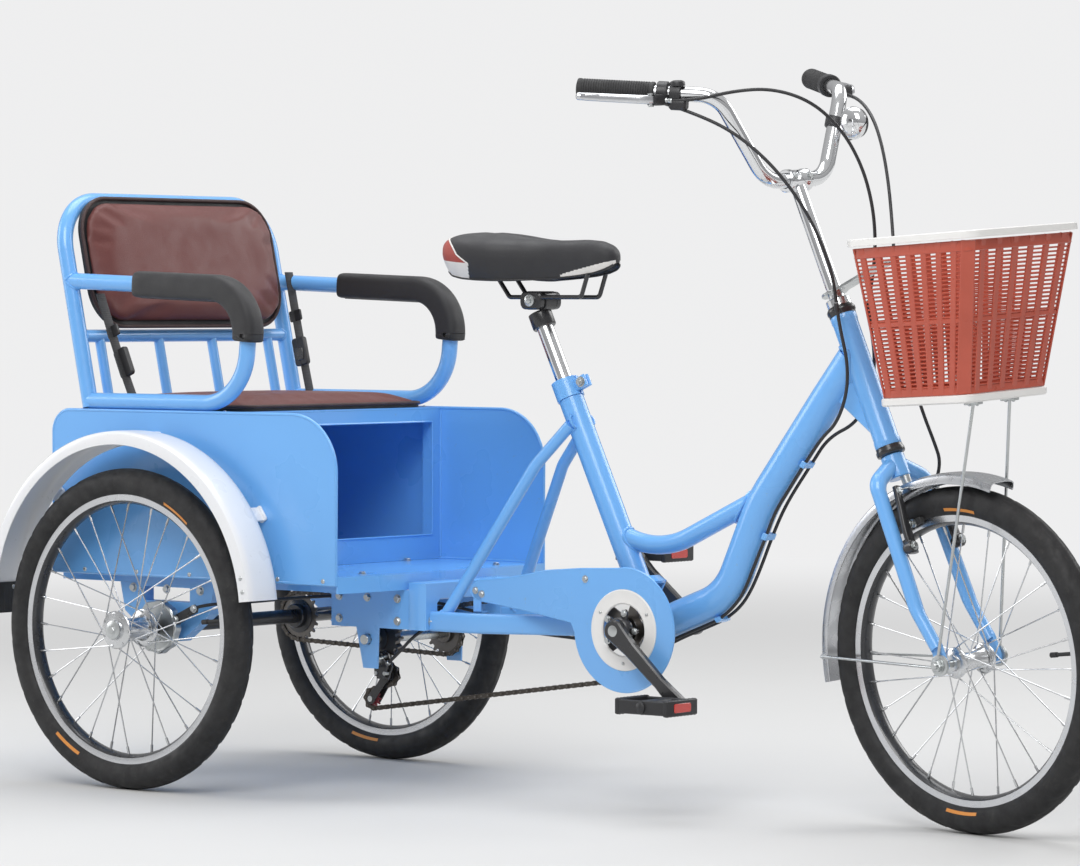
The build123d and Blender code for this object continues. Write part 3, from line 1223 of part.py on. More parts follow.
with BuildPart() as handlebar:
    left = bar_points(1)
    right = bar_points(-1)
    tube(steered(), [*reversed(left), *right], [BAR_BEND_R] * 4, BAR_D)
keep("handlebar", handlebar)

GRIP_L = 112.0
with BuildPart() as grips:
    for side in (-1, 1):
        foot, top, end = bar_points(side)
        along = (top - end).normalized()
        tube(steered(), [end - along * 1, end + along * GRIP_L], [], GRIP_D, (GRIP_D - BAR_D) / 2 - SEAT_GAP)
keep("grips", grips)

LEVER_D = 11.0
LEVER_OUT = 40.0
with BuildPart() as brake_levers:
    for side in (-1, 1):
        foot, top, end = bar_points(side)
        along = (top - end).normalized()
        ahead = Vector(-along.Z, 0, along.X) * -side
        low = Vector(0, -10, 0)
        tube(steered(), [end + along * (GRIP_L + 4), end + along * (GRIP_L + 20)], [], 34, 6 - SEAT_GAP)
        route = [
            end + along * (GRIP_L + 12) + ahead * 14 + low,
            end + along * (GRIP_L - 6) + ahead * LEVER_OUT + low,
            end + along * 8 + ahead * (LEVER_OUT - 4) + low,
        ]
        tube(steered(), route, [16], LEVER_D)
keep("brake_levers", brake_levers)

BELL_R = 24.0
BELL_T = 26.0
BELL_SHARE = 0.62
BELL_CLAMP_W = 16.0
BELL_CLAMP_T = 4.0
with BuildPart() as bell:
    foot, top, end = bar_points(1)
    seat = foot + (top - foot) * BELL_SHARE
    rise = (top - foot).normalized()
    clamp = [seat - rise * BELL_CLAMP_W / 2, seat + rise * BELL_CLAMP_W / 2]
    tube(steered(), clamp, [], BAR_D + 2 * BELL_CLAMP_T)
    drum(steered(), seat.X + BAR_D / 2 + BELL_R, seat.Y, BELL_R, seat.Z - BELL_T / 2, BELL_T)
    tube(steered(), [foot, top], [], BAR_D + 2 * SEAT_GAP, mode=Mode.SUBTRACT)
keep("bell", bell)

# Basket: sloping walls between a tray and a rim, tipped up at the nose
BASE_CENTER = (-88.0, BASKET_BASE_Z)
BASKET_H = 214.0
BASE_L = 162.0
BASE_W = 180.0
RIM_L = 229.0
RIM_W = 230.0
RIM_SHIFT = 19.0
RIM_BAND_H = 10.0
TRIM_W = 10.0
TRAY_H = 12.0
BASKET_CORNER = 16.0
WINDOW_ROWS = ((52.0, 70.0), (147.0, 96.0))
WINDOW_COUNT = 5
WINDOW_W = 22.0
WINDOW_MARGIN = 62.0


def basket_plane(height=0.0):
    """The plane square to the basket's own upright at a height over its floor, X forward."""
    tilt = radians(BASKET_TILT)
    frame = steered()
    ahead = frame.x_dir * cos(tilt) + frame.y_dir * sin(tilt)
    up = ahead.cross(frame.z_dir) * -1
    foot = frame.from_local_coords((*BASE_CENTER, 0))
    return Plane(foot + up * height, x_dir=ahead, z_dir=up)


BASKET_FRAME = basket_plane()
SIDE_VIEW = Plane(BASKET_FRAME.origin, x_dir=BASKET_FRAME.x_dir, z_dir=BASKET_FRAME.y_dir * -1)
FRONT_VIEW = Plane(BASKET_FRAME.origin, x_dir=BASKET_FRAME.y_dir, z_dir=BASKET_FRAME.x_dir)
BASKET_VIEWS = ((SIDE_VIEW, BASE_L, RIM_L, RIM_SHIFT), (FRONT_VIEW, BASE_W, RIM_W, 0))


def basket_block(inset, low, high):
    """The basket's tapered body, moved in by inset, between two heights over its floor."""
    with BuildPart() as block:
        for plane, base, rim, shift in BASKET_VIEWS:
            corners = []
            for height, side in ((low, -1), (low, 1), (high, 1), (high, -1)):
                share = height / BASKET_H
                half = (base + (rim - base) * share) / 2 - inset
                corners.append((shift * share + side * half, height))
            with BuildSketch(plane) as view:
                with BuildLine():
                    Polyline(*corners, close=True)
                make_face()
            whole = Mode.INTERSECT if block.solids() else Mode.ADD
            extrude(view.sketch, amount=RIM_W, both=True, mode=whole)
        rising = [edge for edge in block.edges() if abs((edge % 0.5).dot(BASKET_FRAME.z_dir)) > 0.5]
        chamfer(rising, BASKET_CORNER - inset / 2)
    return block.part


with BuildPart() as basket:
    add(basket_block(0, 0, BASKET_H))
    add(basket_block(BASKET_T, BASKET_T, BASKET_H + BASKET_T), mode=Mode.SUBTRACT)
    for plane, base, rim, shift in BASKET_VIEWS:
        with BuildSketch(plane) as windows:
            for middle, length in WINDOW_ROWS:
                share = middle / BASKET_H
                pitch = (base + (rim - base) * share - WINDOW_MARGIN) / (WINDOW_COUNT - 1)
                with Locations((shift * share, middle)):
                    with GridLocations(pitch, 1, WINDOW_COUNT, 1):
                        Rectangle(WINDOW_W, length)
        extrude(windows.sketch, amount=RIM_W, both=True, mode=Mode.SUBTRACT)
keep("basket", basket)

with BuildPart() as basket_trim:
    with BuildSketch(basket_plane(BASKET_H + SEAT_GAP)) as band:
        with Locations((RIM_SHIFT, 0)):
            Rectangle(RIM_L + TRIM_W, RIM_W + TRIM_W)
            chamfer(band.vertices(), BASKET_CORNER + TRIM_W / 4)
            add(offset(band.face(), -TRIM_W, mode=Mode.PRIVATE), mode=Mode.SUBTRACT)
    extrude(band.sketch, amount=RIM_BAND_H)
    with BuildSketch(basket_plane(-SEAT_GAP)) as tray:
        Rectangle(BASE_L + 6, BASE_W + 6)
        chamfer(tray.vertices(), BASKET_CORNER)
    extrude(tray.sketch, amount=-TRAY_H)
keep("basket_trim", basket_trim)

STAY_ROD_D = 5.0
STAY_TOP_X = 50.0
STAY_TOP_Y = 38.0
STAY_FOOT_T = 4.0
with BuildPart() as basket_stays:
    tray_low = basket_plane(-TRAY_H - 2 * SEAT_GAP)
    rod_z = EYE_START + EYE_T + SEAT_GAP + STAY_ROD_D / 2
    for side in (-1, 1):
        seat = tray_low.from_local_coords((STAY_TOP_X, side * STAY_TOP_Y, -STAY_FOOT_T / 2))
        top = steered().to_local_coords(seat)
        hub = steered().to_local_coords(FRONT_SPIN.from_local_coords((0, EYE_R - 1, -side * rod_z)))
        tube(steered(), [top, hub], [], STAY_ROD_D)
        with BuildSketch(tray_low) as foot:
            with Locations((STAY_TOP_X, side * STAY_TOP_Y)):
                Rectangle(26, 14)
        extrude(foot.sketch, amount=-STAY_FOOT_T)
        start = side * (EYE_START + EYE_T + SEAT_GAP)
        first = -start if side < 0 else -start - EYE_T
        drum(FRONT_SPIN, 0, 0, EYE_R, first, EYE_T, bore=FRONT_AXLE_D / 2 + SEAT_GAP)
    with BuildSketch(across_fork(FORK_TOP + 20)) as strap:
        RegularPolygon(BAR_D / 2 + 9, sides_of(BAR_D))
        with Locations((60, 0)):
            Rectangle(100, 30)
        round_outline(BAR_D / 2, Mode.SUBTRACT)
    extrude(strap.sketch, amount=4)
keep("basket_stays", basket_stays)

# Front mudguard with its crown tab and stay, and the rim brake
FRONT_GUARD_R = 265.0
FRONT_GUARD_HALF_W = 25.0
FRONT_GUARD_LIP = 14.0
FRONT_GUARD_START = 74.0
FRONT_GUARD_ARC = 116.0
with BuildPart() as front_mudguard:
    mudguard(
        FRONT_SPIN, FRONT_GUARD_R, FRONT_GUARD_HALF_W, FRONT_GUARD_LIP, FRONT_GUARD_START, FRONT_GUARD_ARC
    )
    tab_start = FRONT_S + FRONT_GUARD_R - 0.8
    drum(across_fork(0), FRONT_F, 0, 7, tab_start, CROWN_LOW - tab_start - SEAT_GAP)
    for side in (-1, 1):
        with BuildLine(FRONT_SPIN) as route:
            Line(
                (1 - EYE_R, -4, side * (EYE_START + 0.4)),
                (5 - FRONT_GUARD_R, -8, side * (FRONT_GUARD_HALF_W - 0.4)),
            )
        with BuildSketch(Plane(route.line @ 0, z_dir=route.line % 0)) as section:
            RegularPolygon(2.2, 6)
        sweep(section.sketch, path=route.line)
        start = EYE_START if side > 0 else -EYE_START - EYE_T
        drum(FRONT_SPIN, 0, 0, EYE_R, start, EYE_T, bore=FRONT_AXLE_D / 2 + SEAT_GAP)
keep("front_mudguard", front_mudguard)

BRAKE_F = 22.0
BRAKE_ARM_D = 13.0
BRAKE_BOSS_D = 10.0
BRAKE_BOLT_D = 6.0
PAD_S = FRONT_S + RIM_R - 7.0
with BuildPart() as front_brake:
    for side in (-1, 1):
        arm = [(BRAKE_F, PAD_S - 38, side * (BLADE_Y - 8)), (BRAKE_F, PAD_S + 56, side * 38)]
        tube(along_fork(), arm, [], BRAKE_ARM_D)
        boss = (BLADE_D / 2 + SEAT_GAP, arm[0][1] + 4, arm[0][2] + side * 4)
        tube(along_fork(), [boss, (BRAKE_F, arm[0][1] + 4, arm[0][2])], [], BRAKE_BOSS_D)
        with BuildSketch(along_fork(side * (RIM_HALF_W + 5.5))) as pad:
            with Locations((FRONT_F, PAD_S)):
                Rectangle(50, 9)
        extrude(pad.sketch, amount=-side * 10)
        bolt = [(BRAKE_F, PAD_S, side * 42), (FRONT_F + 6, PAD_S, side * (RIM_HALF_W + 15))]
        tube(along_fork(), bolt, [], BRAKE_BOLT_D)
keep("front_brake", front_brake)


# Brake and gear cables: those on the steered pieces end beside the headset, where those on the frame begin
CABLE_D = 5.0
CABLE_BEND_SHARE = 0.45
CABLE_GAP = 0.4
MEETING_GAP = 1.6


def cable(plane, points):
    """A held cable: straight runs joined by the largest bends that leave a little straight between them."""
    radii = []
    for before, here, after in zip(points, points[1:], points[2:]):
        back = Vector(before) - Vector(here)
        ahead = Vector(after) - Vector(here)
        turn = pi - radians(back.get_angle(ahead))
        radii.append(CABLE_BEND_SHARE * min(back.length, ahead.length) / tan(turn / 2))
    tube(plane, points, radii, CABLE_D)


def lever_mouth(side, forward, low):
    """Where a cable leaves the clamp of a brake lever, in the plane of the steered pieces."""
    foot, top, end = bar_points(side)
    along = (top - end).normalized()
    ahead = Vector(-along.Z, 0, along.X) * -side
    return end + along * (GRIP_L + 20 + CABLE_GAP) + ahead * forward - Vector(0, low, 0)


BRAKE_MEETING = (-292, 748, -33)
GEAR_MEETING = (-294, 748, 33)
FRONT_BRAKE_CABLE = [
    lever_mouth(1, 14, 10), (-437, 1040, -157), (-394, 1031, -140), (-350, 1006, -118), (-313, 966, -95),
    (-286, 915, -76), (-267, 861, -60), (-253, 806, -47), (-241, 750, -38), (-229, 694, -34),
    (-216, 640, -34), (-200, 588, -37), (-186, 545, -44), (-180, 516, -50), (-184, 498, -46),
]
REAR_BRAKE_CABLE = [
    lever_mouth(-1, 14, 10), (-437, 1041, 157), (-392, 1052, 128), (-347, 1054, 94), (-309, 1034, 54),
    (-285, 992, 18), (-273, 940, -8), (-269, 884, -23), (-273, 830, -31), (-284, 782, -35), BRAKE_MEETING,
]
GEAR_CABLE = [
    lever_mouth(-1, 4, 16.5), (-440, 1021, 150), (-398, 994, 121), (-360, 954, 96), (-330, 908, 75),
    (-308, 858, 58), (-296, 808, 45), (-292, 775, 38), GEAR_MEETING,
]
with BuildPart() as cables_steer:
    for points in (FRONT_BRAKE_CABLE, REAR_BRAKE_CABLE, GEAR_CABLE):
        cable(steered(), points)
keep("cables_steer", cables_steer)


def beside_headset(meeting):
    """A meeting point of two cable ends, in the fore-and-aft plane of the frame, just below it."""
    place = upright().to_local_coords(steered().from_local_coords(meeting))
    return (place.X, place.Y - MEETING_GAP, place.Z)


UNDER_TUBES = [
    (1112, 573, 26), (1074, 552, 8), (1044, 512.5, 9), (1014, 472.5, 8), (993.5, 443, 9.5), (976.5, 407, 8),
    (955.5, 361, 9.5), (938.5, 326, 8), (920, 302.5, 9), (894, 283.5, 8), (864.5, 271.5, 9),
    (822.5, 255.4, 8),
    (779, 236.4, 9),
]
REAR_BRAKE_RUN = [
    beside_headset(BRAKE_MEETING), (1130, 715, -31), (1138, 668, -32), (1134, 620, -31),
    *[(x, z, -y) for x, z, y in UNDER_TUBES],
    (735, 237.6, -8), (690, 240, -12), (640, 243, -15), (585, 249, -17), (530, 256, -18), (475, 264, -20),
    (420, 272, -18), (365, 280, -20), (310, 286, -17), (258, 290, -6), (215, 292, 24), (184, 291, 70),
    (160, 289, 122), (138, 286, 172), (118, 284, 214), (98, 283, 238), (78.1, 277.7, 243),
]
GEAR_RUN = [
    beside_headset(GEAR_MEETING), (1124, 708, 36), (1136, 662, 34), (1134, 616, 32),
    *UNDER_TUBES,
    (735, 237.6, 8), (690, 240, 12), (640, 244, 16), (585, 248, 22), (530, 252, 29), (475, 257, 35),
    (425, 262, 40), (386, 256, 54), (366, 236, 74), (349, 214, 83), (329.6, 198.1, 84),
]
with BuildPart() as cables_frame:
    for points in (REAR_BRAKE_RUN, GEAR_RUN):
        cable(upright(), points)
keep("cables_frame", cables_frame)

print(len(NODES), "pieces")
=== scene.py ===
import json
from math import asin, atan2, cos, degrees, pi, radians, sin, sqrt, tau
import random

import bmesh
import bpy
from mathutils import Matrix, Quaternion, Vector

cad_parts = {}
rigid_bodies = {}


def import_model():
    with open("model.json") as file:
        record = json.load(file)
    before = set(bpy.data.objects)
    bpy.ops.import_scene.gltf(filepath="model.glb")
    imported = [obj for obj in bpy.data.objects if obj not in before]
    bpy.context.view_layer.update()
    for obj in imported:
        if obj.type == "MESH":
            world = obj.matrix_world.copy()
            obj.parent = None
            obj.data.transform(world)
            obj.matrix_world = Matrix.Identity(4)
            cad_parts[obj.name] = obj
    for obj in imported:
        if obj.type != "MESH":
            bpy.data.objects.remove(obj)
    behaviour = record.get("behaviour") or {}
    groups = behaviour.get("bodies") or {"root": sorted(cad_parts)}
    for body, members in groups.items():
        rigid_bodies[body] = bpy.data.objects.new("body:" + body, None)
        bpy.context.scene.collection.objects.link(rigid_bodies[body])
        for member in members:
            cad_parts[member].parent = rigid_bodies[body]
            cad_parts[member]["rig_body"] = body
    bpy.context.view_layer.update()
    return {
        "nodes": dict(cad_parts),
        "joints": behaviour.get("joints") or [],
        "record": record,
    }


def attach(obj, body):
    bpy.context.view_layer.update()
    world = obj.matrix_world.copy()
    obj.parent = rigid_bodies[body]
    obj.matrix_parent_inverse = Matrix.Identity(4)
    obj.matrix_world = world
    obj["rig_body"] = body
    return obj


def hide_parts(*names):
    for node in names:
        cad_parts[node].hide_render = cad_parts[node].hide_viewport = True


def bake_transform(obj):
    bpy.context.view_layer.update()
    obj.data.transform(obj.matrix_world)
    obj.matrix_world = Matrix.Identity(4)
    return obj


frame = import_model()

# Pedal tricycle with a bench for passengers. Lengths are millimetres unless a name says otherwise,
# and a place is a matrix that takes millimetres in its own axes to metres in the row's frame.
MM = 0.001
SCALE = Matrix.Scale(MM, 4)
X, Y, Z = Vector((1, 0, 0)), Vector((0, 1, 0)), Vector((0, 0, 1))
SIDES = (-1, 1)
JOINTS = {joint["name"]: joint for joint in frame["joints"]}
NODES = frame["nodes"]


def place(origin, x_axis, z_axis):
    """The place at an origin in metres, with the given X and Z directions."""
    x_axis, z_axis = Vector(x_axis).normalized(), Vector(z_axis).normalized()
    turn = Matrix((x_axis, z_axis.cross(x_axis), z_axis)).transposed().to_4x4()
    return Matrix.Translation(origin) @ turn @ SCALE


def shifted(spot, x=0.0, y=0.0, z=0.0):
    """The same place moved along its own axes."""
    return spot @ Matrix.Translation((x, y, z))


def spun(spot, angle, x=0.0, y=0.0, z=0.0, axis="Z"):
    """The same place turned about one of its axes, then moved along the turned ones."""
    return shifted(spot @ Matrix.Rotation(angle, 4, axis), x, y, z)


def facing(spot, side):
    """The same place, turned half round its X axis for a negative side."""
    return spot if side > 0 else spun(spot, pi, axis="X")


def at(spot, points):
    """Points of a place, given by two or three numbers, in metres."""
    return [spot @ Vector((*point, 0.0)[:3]) for point in points]


def joint_point(name):
    return Vector(JOINTS[name]["pos_m"])


# Places that the pieces are set out in
WHEEL_R = 245.0
REAR_AXLE = Vector((joint_point("right_wheel_spin").x, 0, WHEEL_R * MM))
BODY = place((REAR_AXLE.x, 0, 0), X, Z)
STEER_UP = Vector(JOINTS["steering_turn"]["axis"])
STEER_PIN = joint_point("steering_turn")
STEER_FOOT = STEER_PIN - STEER_UP * (STEER_PIN.z / STEER_UP.z)
FRONT_SIDE = Vector(JOINTS["front_wheel_spin"]["axis"])
STEER_REST = -FRONT_SIDE.angle(Y) if FRONT_SIDE.x > 0 else FRONT_SIDE.angle(Y)
REST_TURN = Quaternion(STEER_UP, STEER_REST)
AHEAD = REST_TURN @ X
STEERED = place(STEER_FOOT, AHEAD, REST_TURN @ Z)
FORKED = place(STEER_FOOT, REST_TURN @ Y.cross(STEER_UP), STEER_UP)
FRONT = place(joint_point("front_wheel_spin"), AHEAD, -FRONT_SIDE)
WHEELS = {
    "right": place(joint_point("right_wheel_spin"), X, -Y), "left": place(joint_point("left_wheel_spin"), X, Y),
    "front": FRONT,
}

# Views of those places, with X ahead, Y up and Z to the right
UPRIGHT, STEER_VIEW, FORK_VIEW = (spun(spot, pi / 2, axis="X") for spot in (BODY, STEERED, FORKED))
AXLE = shifted(UPRIGHT, y=WHEEL_R)
BOTTOM = (771, 266)
CRANK = shifted(UPRIGHT, *BOTTOM)
rng = random.Random(11)


class Shape:
    """The geometry of one piece while it is gathered, in metres. Joining it leaves it empty."""

    def __init__(self):
        self.verts, self.faces, self.slots, self.soft = [], [], [], []

    def add(self, verts, faces, slot=0, soft=True):
        base = len(self.verts)
        self.verts += [tuple(v) for v in verts]
        self.faces += [tuple(base + i for i in face) for face in faces]
        self.slots += [slot] * len(faces)
        self.soft += [soft] * len(faces)

    def join(self, name, body, slot, materials, replaces=(), angle=38):
        """Makes the object, sets its finish and fixes it to its body, if it is given one."""
        mesh = bpy.data.meshes.new(name)
        mesh.from_pydata(self.verts, [], self.faces)
        mesh.validate()
        for material in materials:
            mesh.materials.append(material)
        if len(mesh.polygons) == len(self.faces):
            mesh.polygons.foreach_set("material_index", self.slots)
            mesh.polygons.foreach_set("use_smooth", self.soft)
        tidy = bmesh.new()
        tidy.from_mesh(mesh)
        bmesh.ops.recalc_face_normals(tidy, faces=tidy.faces)
        tidy.to_mesh(mesh)
        tidy.free()
        mesh.set_sharp_from_angle(angle=radians(angle))
        self.__init__()
        obj = linked(name, mesh)
        if body:
            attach(obj, body)
        if replaces:
            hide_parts(*replaces)
        return obj


piece = Shape()


def linked(name, data):
    obj = bpy.data.objects.new(name, data)
    bpy.context.scene.collection.objects.link(obj)
    return obj


def stand_for(obj, node):
    """Fixes an object to a CAD node's body, in its place, and hides the node."""
    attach(obj, NODES[node]["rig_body"])
    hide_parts(node)
    return obj


def node_piece(node, *extra, angle=38, main=None):
    """Joins what was gathered as the piece that stands for a CAD node, in the node's finish."""
    finish, body = RECORD_SLOTS[node], NODES[node]["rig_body"]
    materials = [M[key] for key in (main or finish, *extra)]
    return piece.join(f"{node}_piece", body, finish, materials, replaces=[node], angle=angle)


def walls(wide, layers, closed=False):
    """Faces between rings of points; closed joins the last ring to the first."""
    faces = []
    for i in range(layers if closed else layers - 1):
        here, there = i * wide, ((i + 1) % layers) * wide
        for a in range(wide):
            b = (a + 1) % wide
            faces.append((here + a, here + b, there + b, there + a))
    return faces


def lathed(spot, profile, steps=64, start=0.0, arc=tau, closed=False):
    """Turns a profile of (radius, height) about the place's Z; closed joins the profile's ends."""
    whole = arc >= tau - 1e-6
    count = steps if whole else steps + 1
    verts = []
    for step in range(count):
        turn = start + arc * step / steps
        verts += [spot @ Vector((radius * cos(turn), radius * sin(turn), height)) for radius, height in profile]
    wide = len(profile)
    faces = []
    for step in range(steps):
        here, there = step * wide, ((step + 1) % count) * wide
        for i in range(wide if closed else wide - 1):
            j = (i + 1) % wide
            faces.append((here + i, there + i, there + j, here + j))
    if closed and not whole:
        faces.append(tuple(range(wide - 1, -1, -1)))
        faces.append(tuple((count - 1) * wide + i for i in range(wide)))
    return verts, faces


def frames_along(points, closed=False, up=None):
    """Direction, side and top at each point of a route, turned as little as possible on the way."""
    count = len(points)
    ways = []
    for i in range(count):
        before = points[i - 1] if closed or i else points[i]
        after = points[(i + 1) % count] if closed or i < count - 1 else points[i]
        ways.append((after - before).normalized())
    side = ways[0].cross(up or (Z if abs(ways[0].z) < 0.9 else X)).normalized()
    result = []
    for i, way in enumerate(ways):
        if i:
            side = (side - way * side.dot(way)).normalized()
        result.append((way, side, side.cross(way).normalized()))
    return result


def swept(points, section, closed=False, up=None, twist=None):
    """Carries a closed section of (side, top) offsets in metres along points in metres."""
    verts, wide, rings = [], len(section), len(points)
    for i, (point, (way, side, top)) in enumerate(zip(points, frames_along(points, closed, up))):
        shape = twist(i / max(1, rings - 1), section) if twist else section
        verts += [point + side * a + top * b for a, b in shape]
    faces = walls(wide, rings, closed)
    if not closed:
        faces.append(tuple(range(wide)))
        faces.append(tuple((rings - 1) * wide + i for i in reversed(range(wide))))
    return verts, faces


def arc(radius, first=0.0, turn=360.0, count=16, x=0.0, y=0.0):
    """Points along an arc from a first angle, in degrees; a whole circle doesn't repeat its first point."""
    angles = [radians(first + turn * i / count) for i in range(count if turn == 360 else count + 1)]
    return [(x + radius * cos(a), y + radius * sin(a)) for a in angles]


def lobed(count, radius_at):
    """A closed outline whose radius is worked out from the angle, in radians."""
    turns = [tau * i / count for i in range(count)]
    return [(radius_at(turn) * cos(turn), radius_at(turn) * sin(turn)) for turn in turns]


def round_section(radius, sides=16):
    """A circle of offsets; the radius is in millimetres."""
    return arc(radius * MM, count=sides)


QUARTERS = ((1, 1, 0), (-1, 1, 90), (-1, -1, 180), (1, -1, 270))


def rectangle(width, height, corner=0.0, x=0.0, y=0.0, steps=4):
    """A rectangle's outline, with round corners unless corner is 0."""
    a, b = width / 2 - corner, height / 2 - corner
    if not corner:
        return [(x + i * a, y + j * b) for i, j, _ in QUARTERS]
    return [p for i, j, first in QUARTERS for p in arc(corner, first, 90, steps, x + i * a, y + j * b)]


def rounded_section(width, height, corner, steps=4):
    """A rectangle of offsets with round corners, its sizes in millimetres."""
    return [(a * MM, b * MM) for a, b in rectangle(width, height, corner, steps=steps)]


def scaled(section, across, up=None):
    """A section widened by across, and by up in its other direction."""
    return [(a * across, b * (across if up is None else up)) for a, b in section]


def mirrored(profile, *middle):
    """A profile, then any middle points, and the profile's mirror image on the heights' other side."""
    return [*profile, *middle, *((radius, -height) for radius, height in reversed(profile))]


def rod(radius, low, high):
    """A lathe's profile for a plain solid rod."""
    return [(0, low), (radius, low), (radius, high), (0, high)]


def collar(bore, radius, low, high, bevel=1.0):
    """A lathe's closed profile for a ring with chamfered rims."""
    rim = radius - bevel
    return [
        (bore, low), (rim, low), (radius, low + bevel), (radius, high - bevel), (rim, high), (bore, high),
    ]


def eased(points, radii, step=6.0):
    """A route of straight runs with round bends, from corner points in metres and radii in millimetres."""
    result = [points[0]]
    for before, corner, after, radius in zip(points, points[1:], points[2:], radii):
        back, on = (before - corner).normalized(), (after - corner).normalized()
        half = back.angle(on) / 2
        reach = radius * MM * cos(half) / sin(half)
        middle = corner + (back + on).normalized() * (radius * MM / sin(half))
        first, last = corner + back * reach - middle, corner + on * reach - middle
        turn, axis = first.angle(last), first.cross(last)
        count = max(3, int(degrees(turn) / step))
        result += [middle + Quaternion(axis, turn * k / count) @ first for k in range(count + 1)]
    return result + [points[-1]]


def slabbed(spot, outline, low, high, bevel=0.0):
    """A plate: an outline of (x, y) from the height low to high, its rims chamfered by bevel."""
    wide = len(outline)
    layers = [(outline, low), (outline, high)]
    if bevel:
        area = sum(a[0] * b[1] - b[0] * a[1] for a, b in zip(outline, outline[1:] + outline[:1]))
        turn = 1 if area > 0 else -1
        inner = []
        for i in range(wide):
            a, b, c = (Vector(outline[(i + k) % wide]) for k in (-1, 0, 1))
            first, second = (b - a).normalized(), (c - b).normalized()
            out = (Vector((-first.y, first.x)) + Vector((-second.y, second.x))) * turn
            inner.append(b + out.normalized() * bevel)
        layers = [(inner, low), (outline, low + bevel), (outline, high - bevel), (inner, high)]
    verts = [spot @ Vector((p[0], p[1], height)) for ring, height in layers for p in ring]
    last = (len(layers) - 1) * wide
    faces = [tuple(reversed(range(wide))), *walls(wide, len(layers)), tuple(last + i for i in range(wide))]
    return verts, faces


def holed(spot, outline, inner, low, high):
    """A plate with a hole, from two rings with the same number of points."""
    verts = [spot @ Vector((x, y, z)) for z in (low, high) for ring in (outline, inner) for x, y in ring]
    n = len(outline)
    faces = []
    for i in range(n):
        j = (i + 1) % n
        faces += [
            (i, j, 2 * n + j, 2 * n + i), (n + j, n + i, 3 * n + i, 3 * n + j), (j, i, n + i, n + j),
            (2 * n + i, 2 * n + j, 3 * n + j, 3 * n + i),
        ]
    return verts, faces


def geared(spot, teeth, root, tip, low, high, bore):
    """A sprocket with rounded teeth, as a plate with a bore."""
    outline = []
    for i in range(teeth):
        for share, radius in ((-0.30, root), (-0.12, tip), (0.12, tip), (0.30, root)):
            turn = tau * (i + share) / teeth
            outline.append((radius * cos(turn), radius * sin(turn)))
    return holed(spot, outline, [(bore * cos(atan2(y, x)), bore * sin(atan2(y, x))) for x, y in outline], low, high)


def adding(make, soft=True):
    """A function that adds what make builds to the piece that is being gathered."""
    def add(*args, slot=0, soft=soft, **named):
        piece.add(*make(*args, **named), slot, soft)
    return add


lathe, sweep = adding(lathed), adding(swept)
slab, gear = adding(slabbed, False), adding(geared, False)


def bolt(spot, radius=5.0, head=3.5, slot=0):
    """A hexagon head with a domed top on a thin washer, standing on the place's XY plane."""
    lathe(spot, [(0, 0), (radius * 1.45, 0), (radius * 1.45, 0.8), (radius * 0.9, 1.0)], 20, slot=slot)
    slab(shifted(spot, z=0.8), arc(radius * 1.12, count=6), 0, head, bevel=0.6, slot=slot)


def screw(spot, radius=4.0, slot=0):
    """A low domed head."""
    lathe(spot, [(radius, 0), (radius, 0.7), (radius * 0.7, 1.7), (radius * 0.25, 2.1), (0, 2.1)], 20, slot=slot)


def tube(points, diameter, radii=(), slot=0, step=6.0):
    """A round tube along corner points in metres, its bends rounded."""
    route = eased(points, radii, step) if radii else list(points)
    sweep(route, round_section(diameter / 2, max(10, min(40, int(diameter * 1.2)))), slot=slot)
    return route


WELD_LUMPS = 44


def weld(start, way, radius, other, other_way, other_radius, bead=2.6, wide=None):
    """A weld bead where a tube from start along way meets another round tube; wide is a half width across."""
    way, other_way = way.normalized(), other_way.normalized()
    side = Y if wide else way.orthogonal().normalized()
    top = way.cross(side)
    points = []
    for i in range(WELD_LUMPS):
        turn = tau * i / WELD_LUMPS
        foot = start + (side * cos(turn) * (wide or radius) + top * sin(turn) * radius) * MM
        gap = foot - other
        flat, flat_way = gap - other_way * gap.dot(other_way), way - other_way * way.dot(other_way)
        a, b = flat_way.length_squared, 2 * flat.dot(flat_way)
        c = flat.length_squared - (other_radius * MM) ** 2
        points.append(foot + way * ((-b + sqrt(max(0.0, b * b - 4 * a * c))) / (2 * a)))
    size = [bead * (0.85 + 0.3 * rng.random()) for _ in range(WELD_LUMPS)]

    def lumps(share, section):
        return scaled(section, size[int(share * (WELD_LUMPS - 1))] / bead)

    sweep(points, round_section(bead, 8), closed=True, twist=lumps)


# Materials
def add_node(tree, kind, inputs, **settings):
    """Adds a shader node; each input gets a value, or the output socket that feeds it."""
    node = tree.nodes.new(f"ShaderNode{kind}")
    for name, value in settings.items():
        setattr(node, name, value)
    for key, value in inputs.items():
        if isinstance(value, bpy.types.NodeSocket):
            tree.links.new(value, node.inputs[key])
        else:
            node.inputs[key].default_value = value
    return node


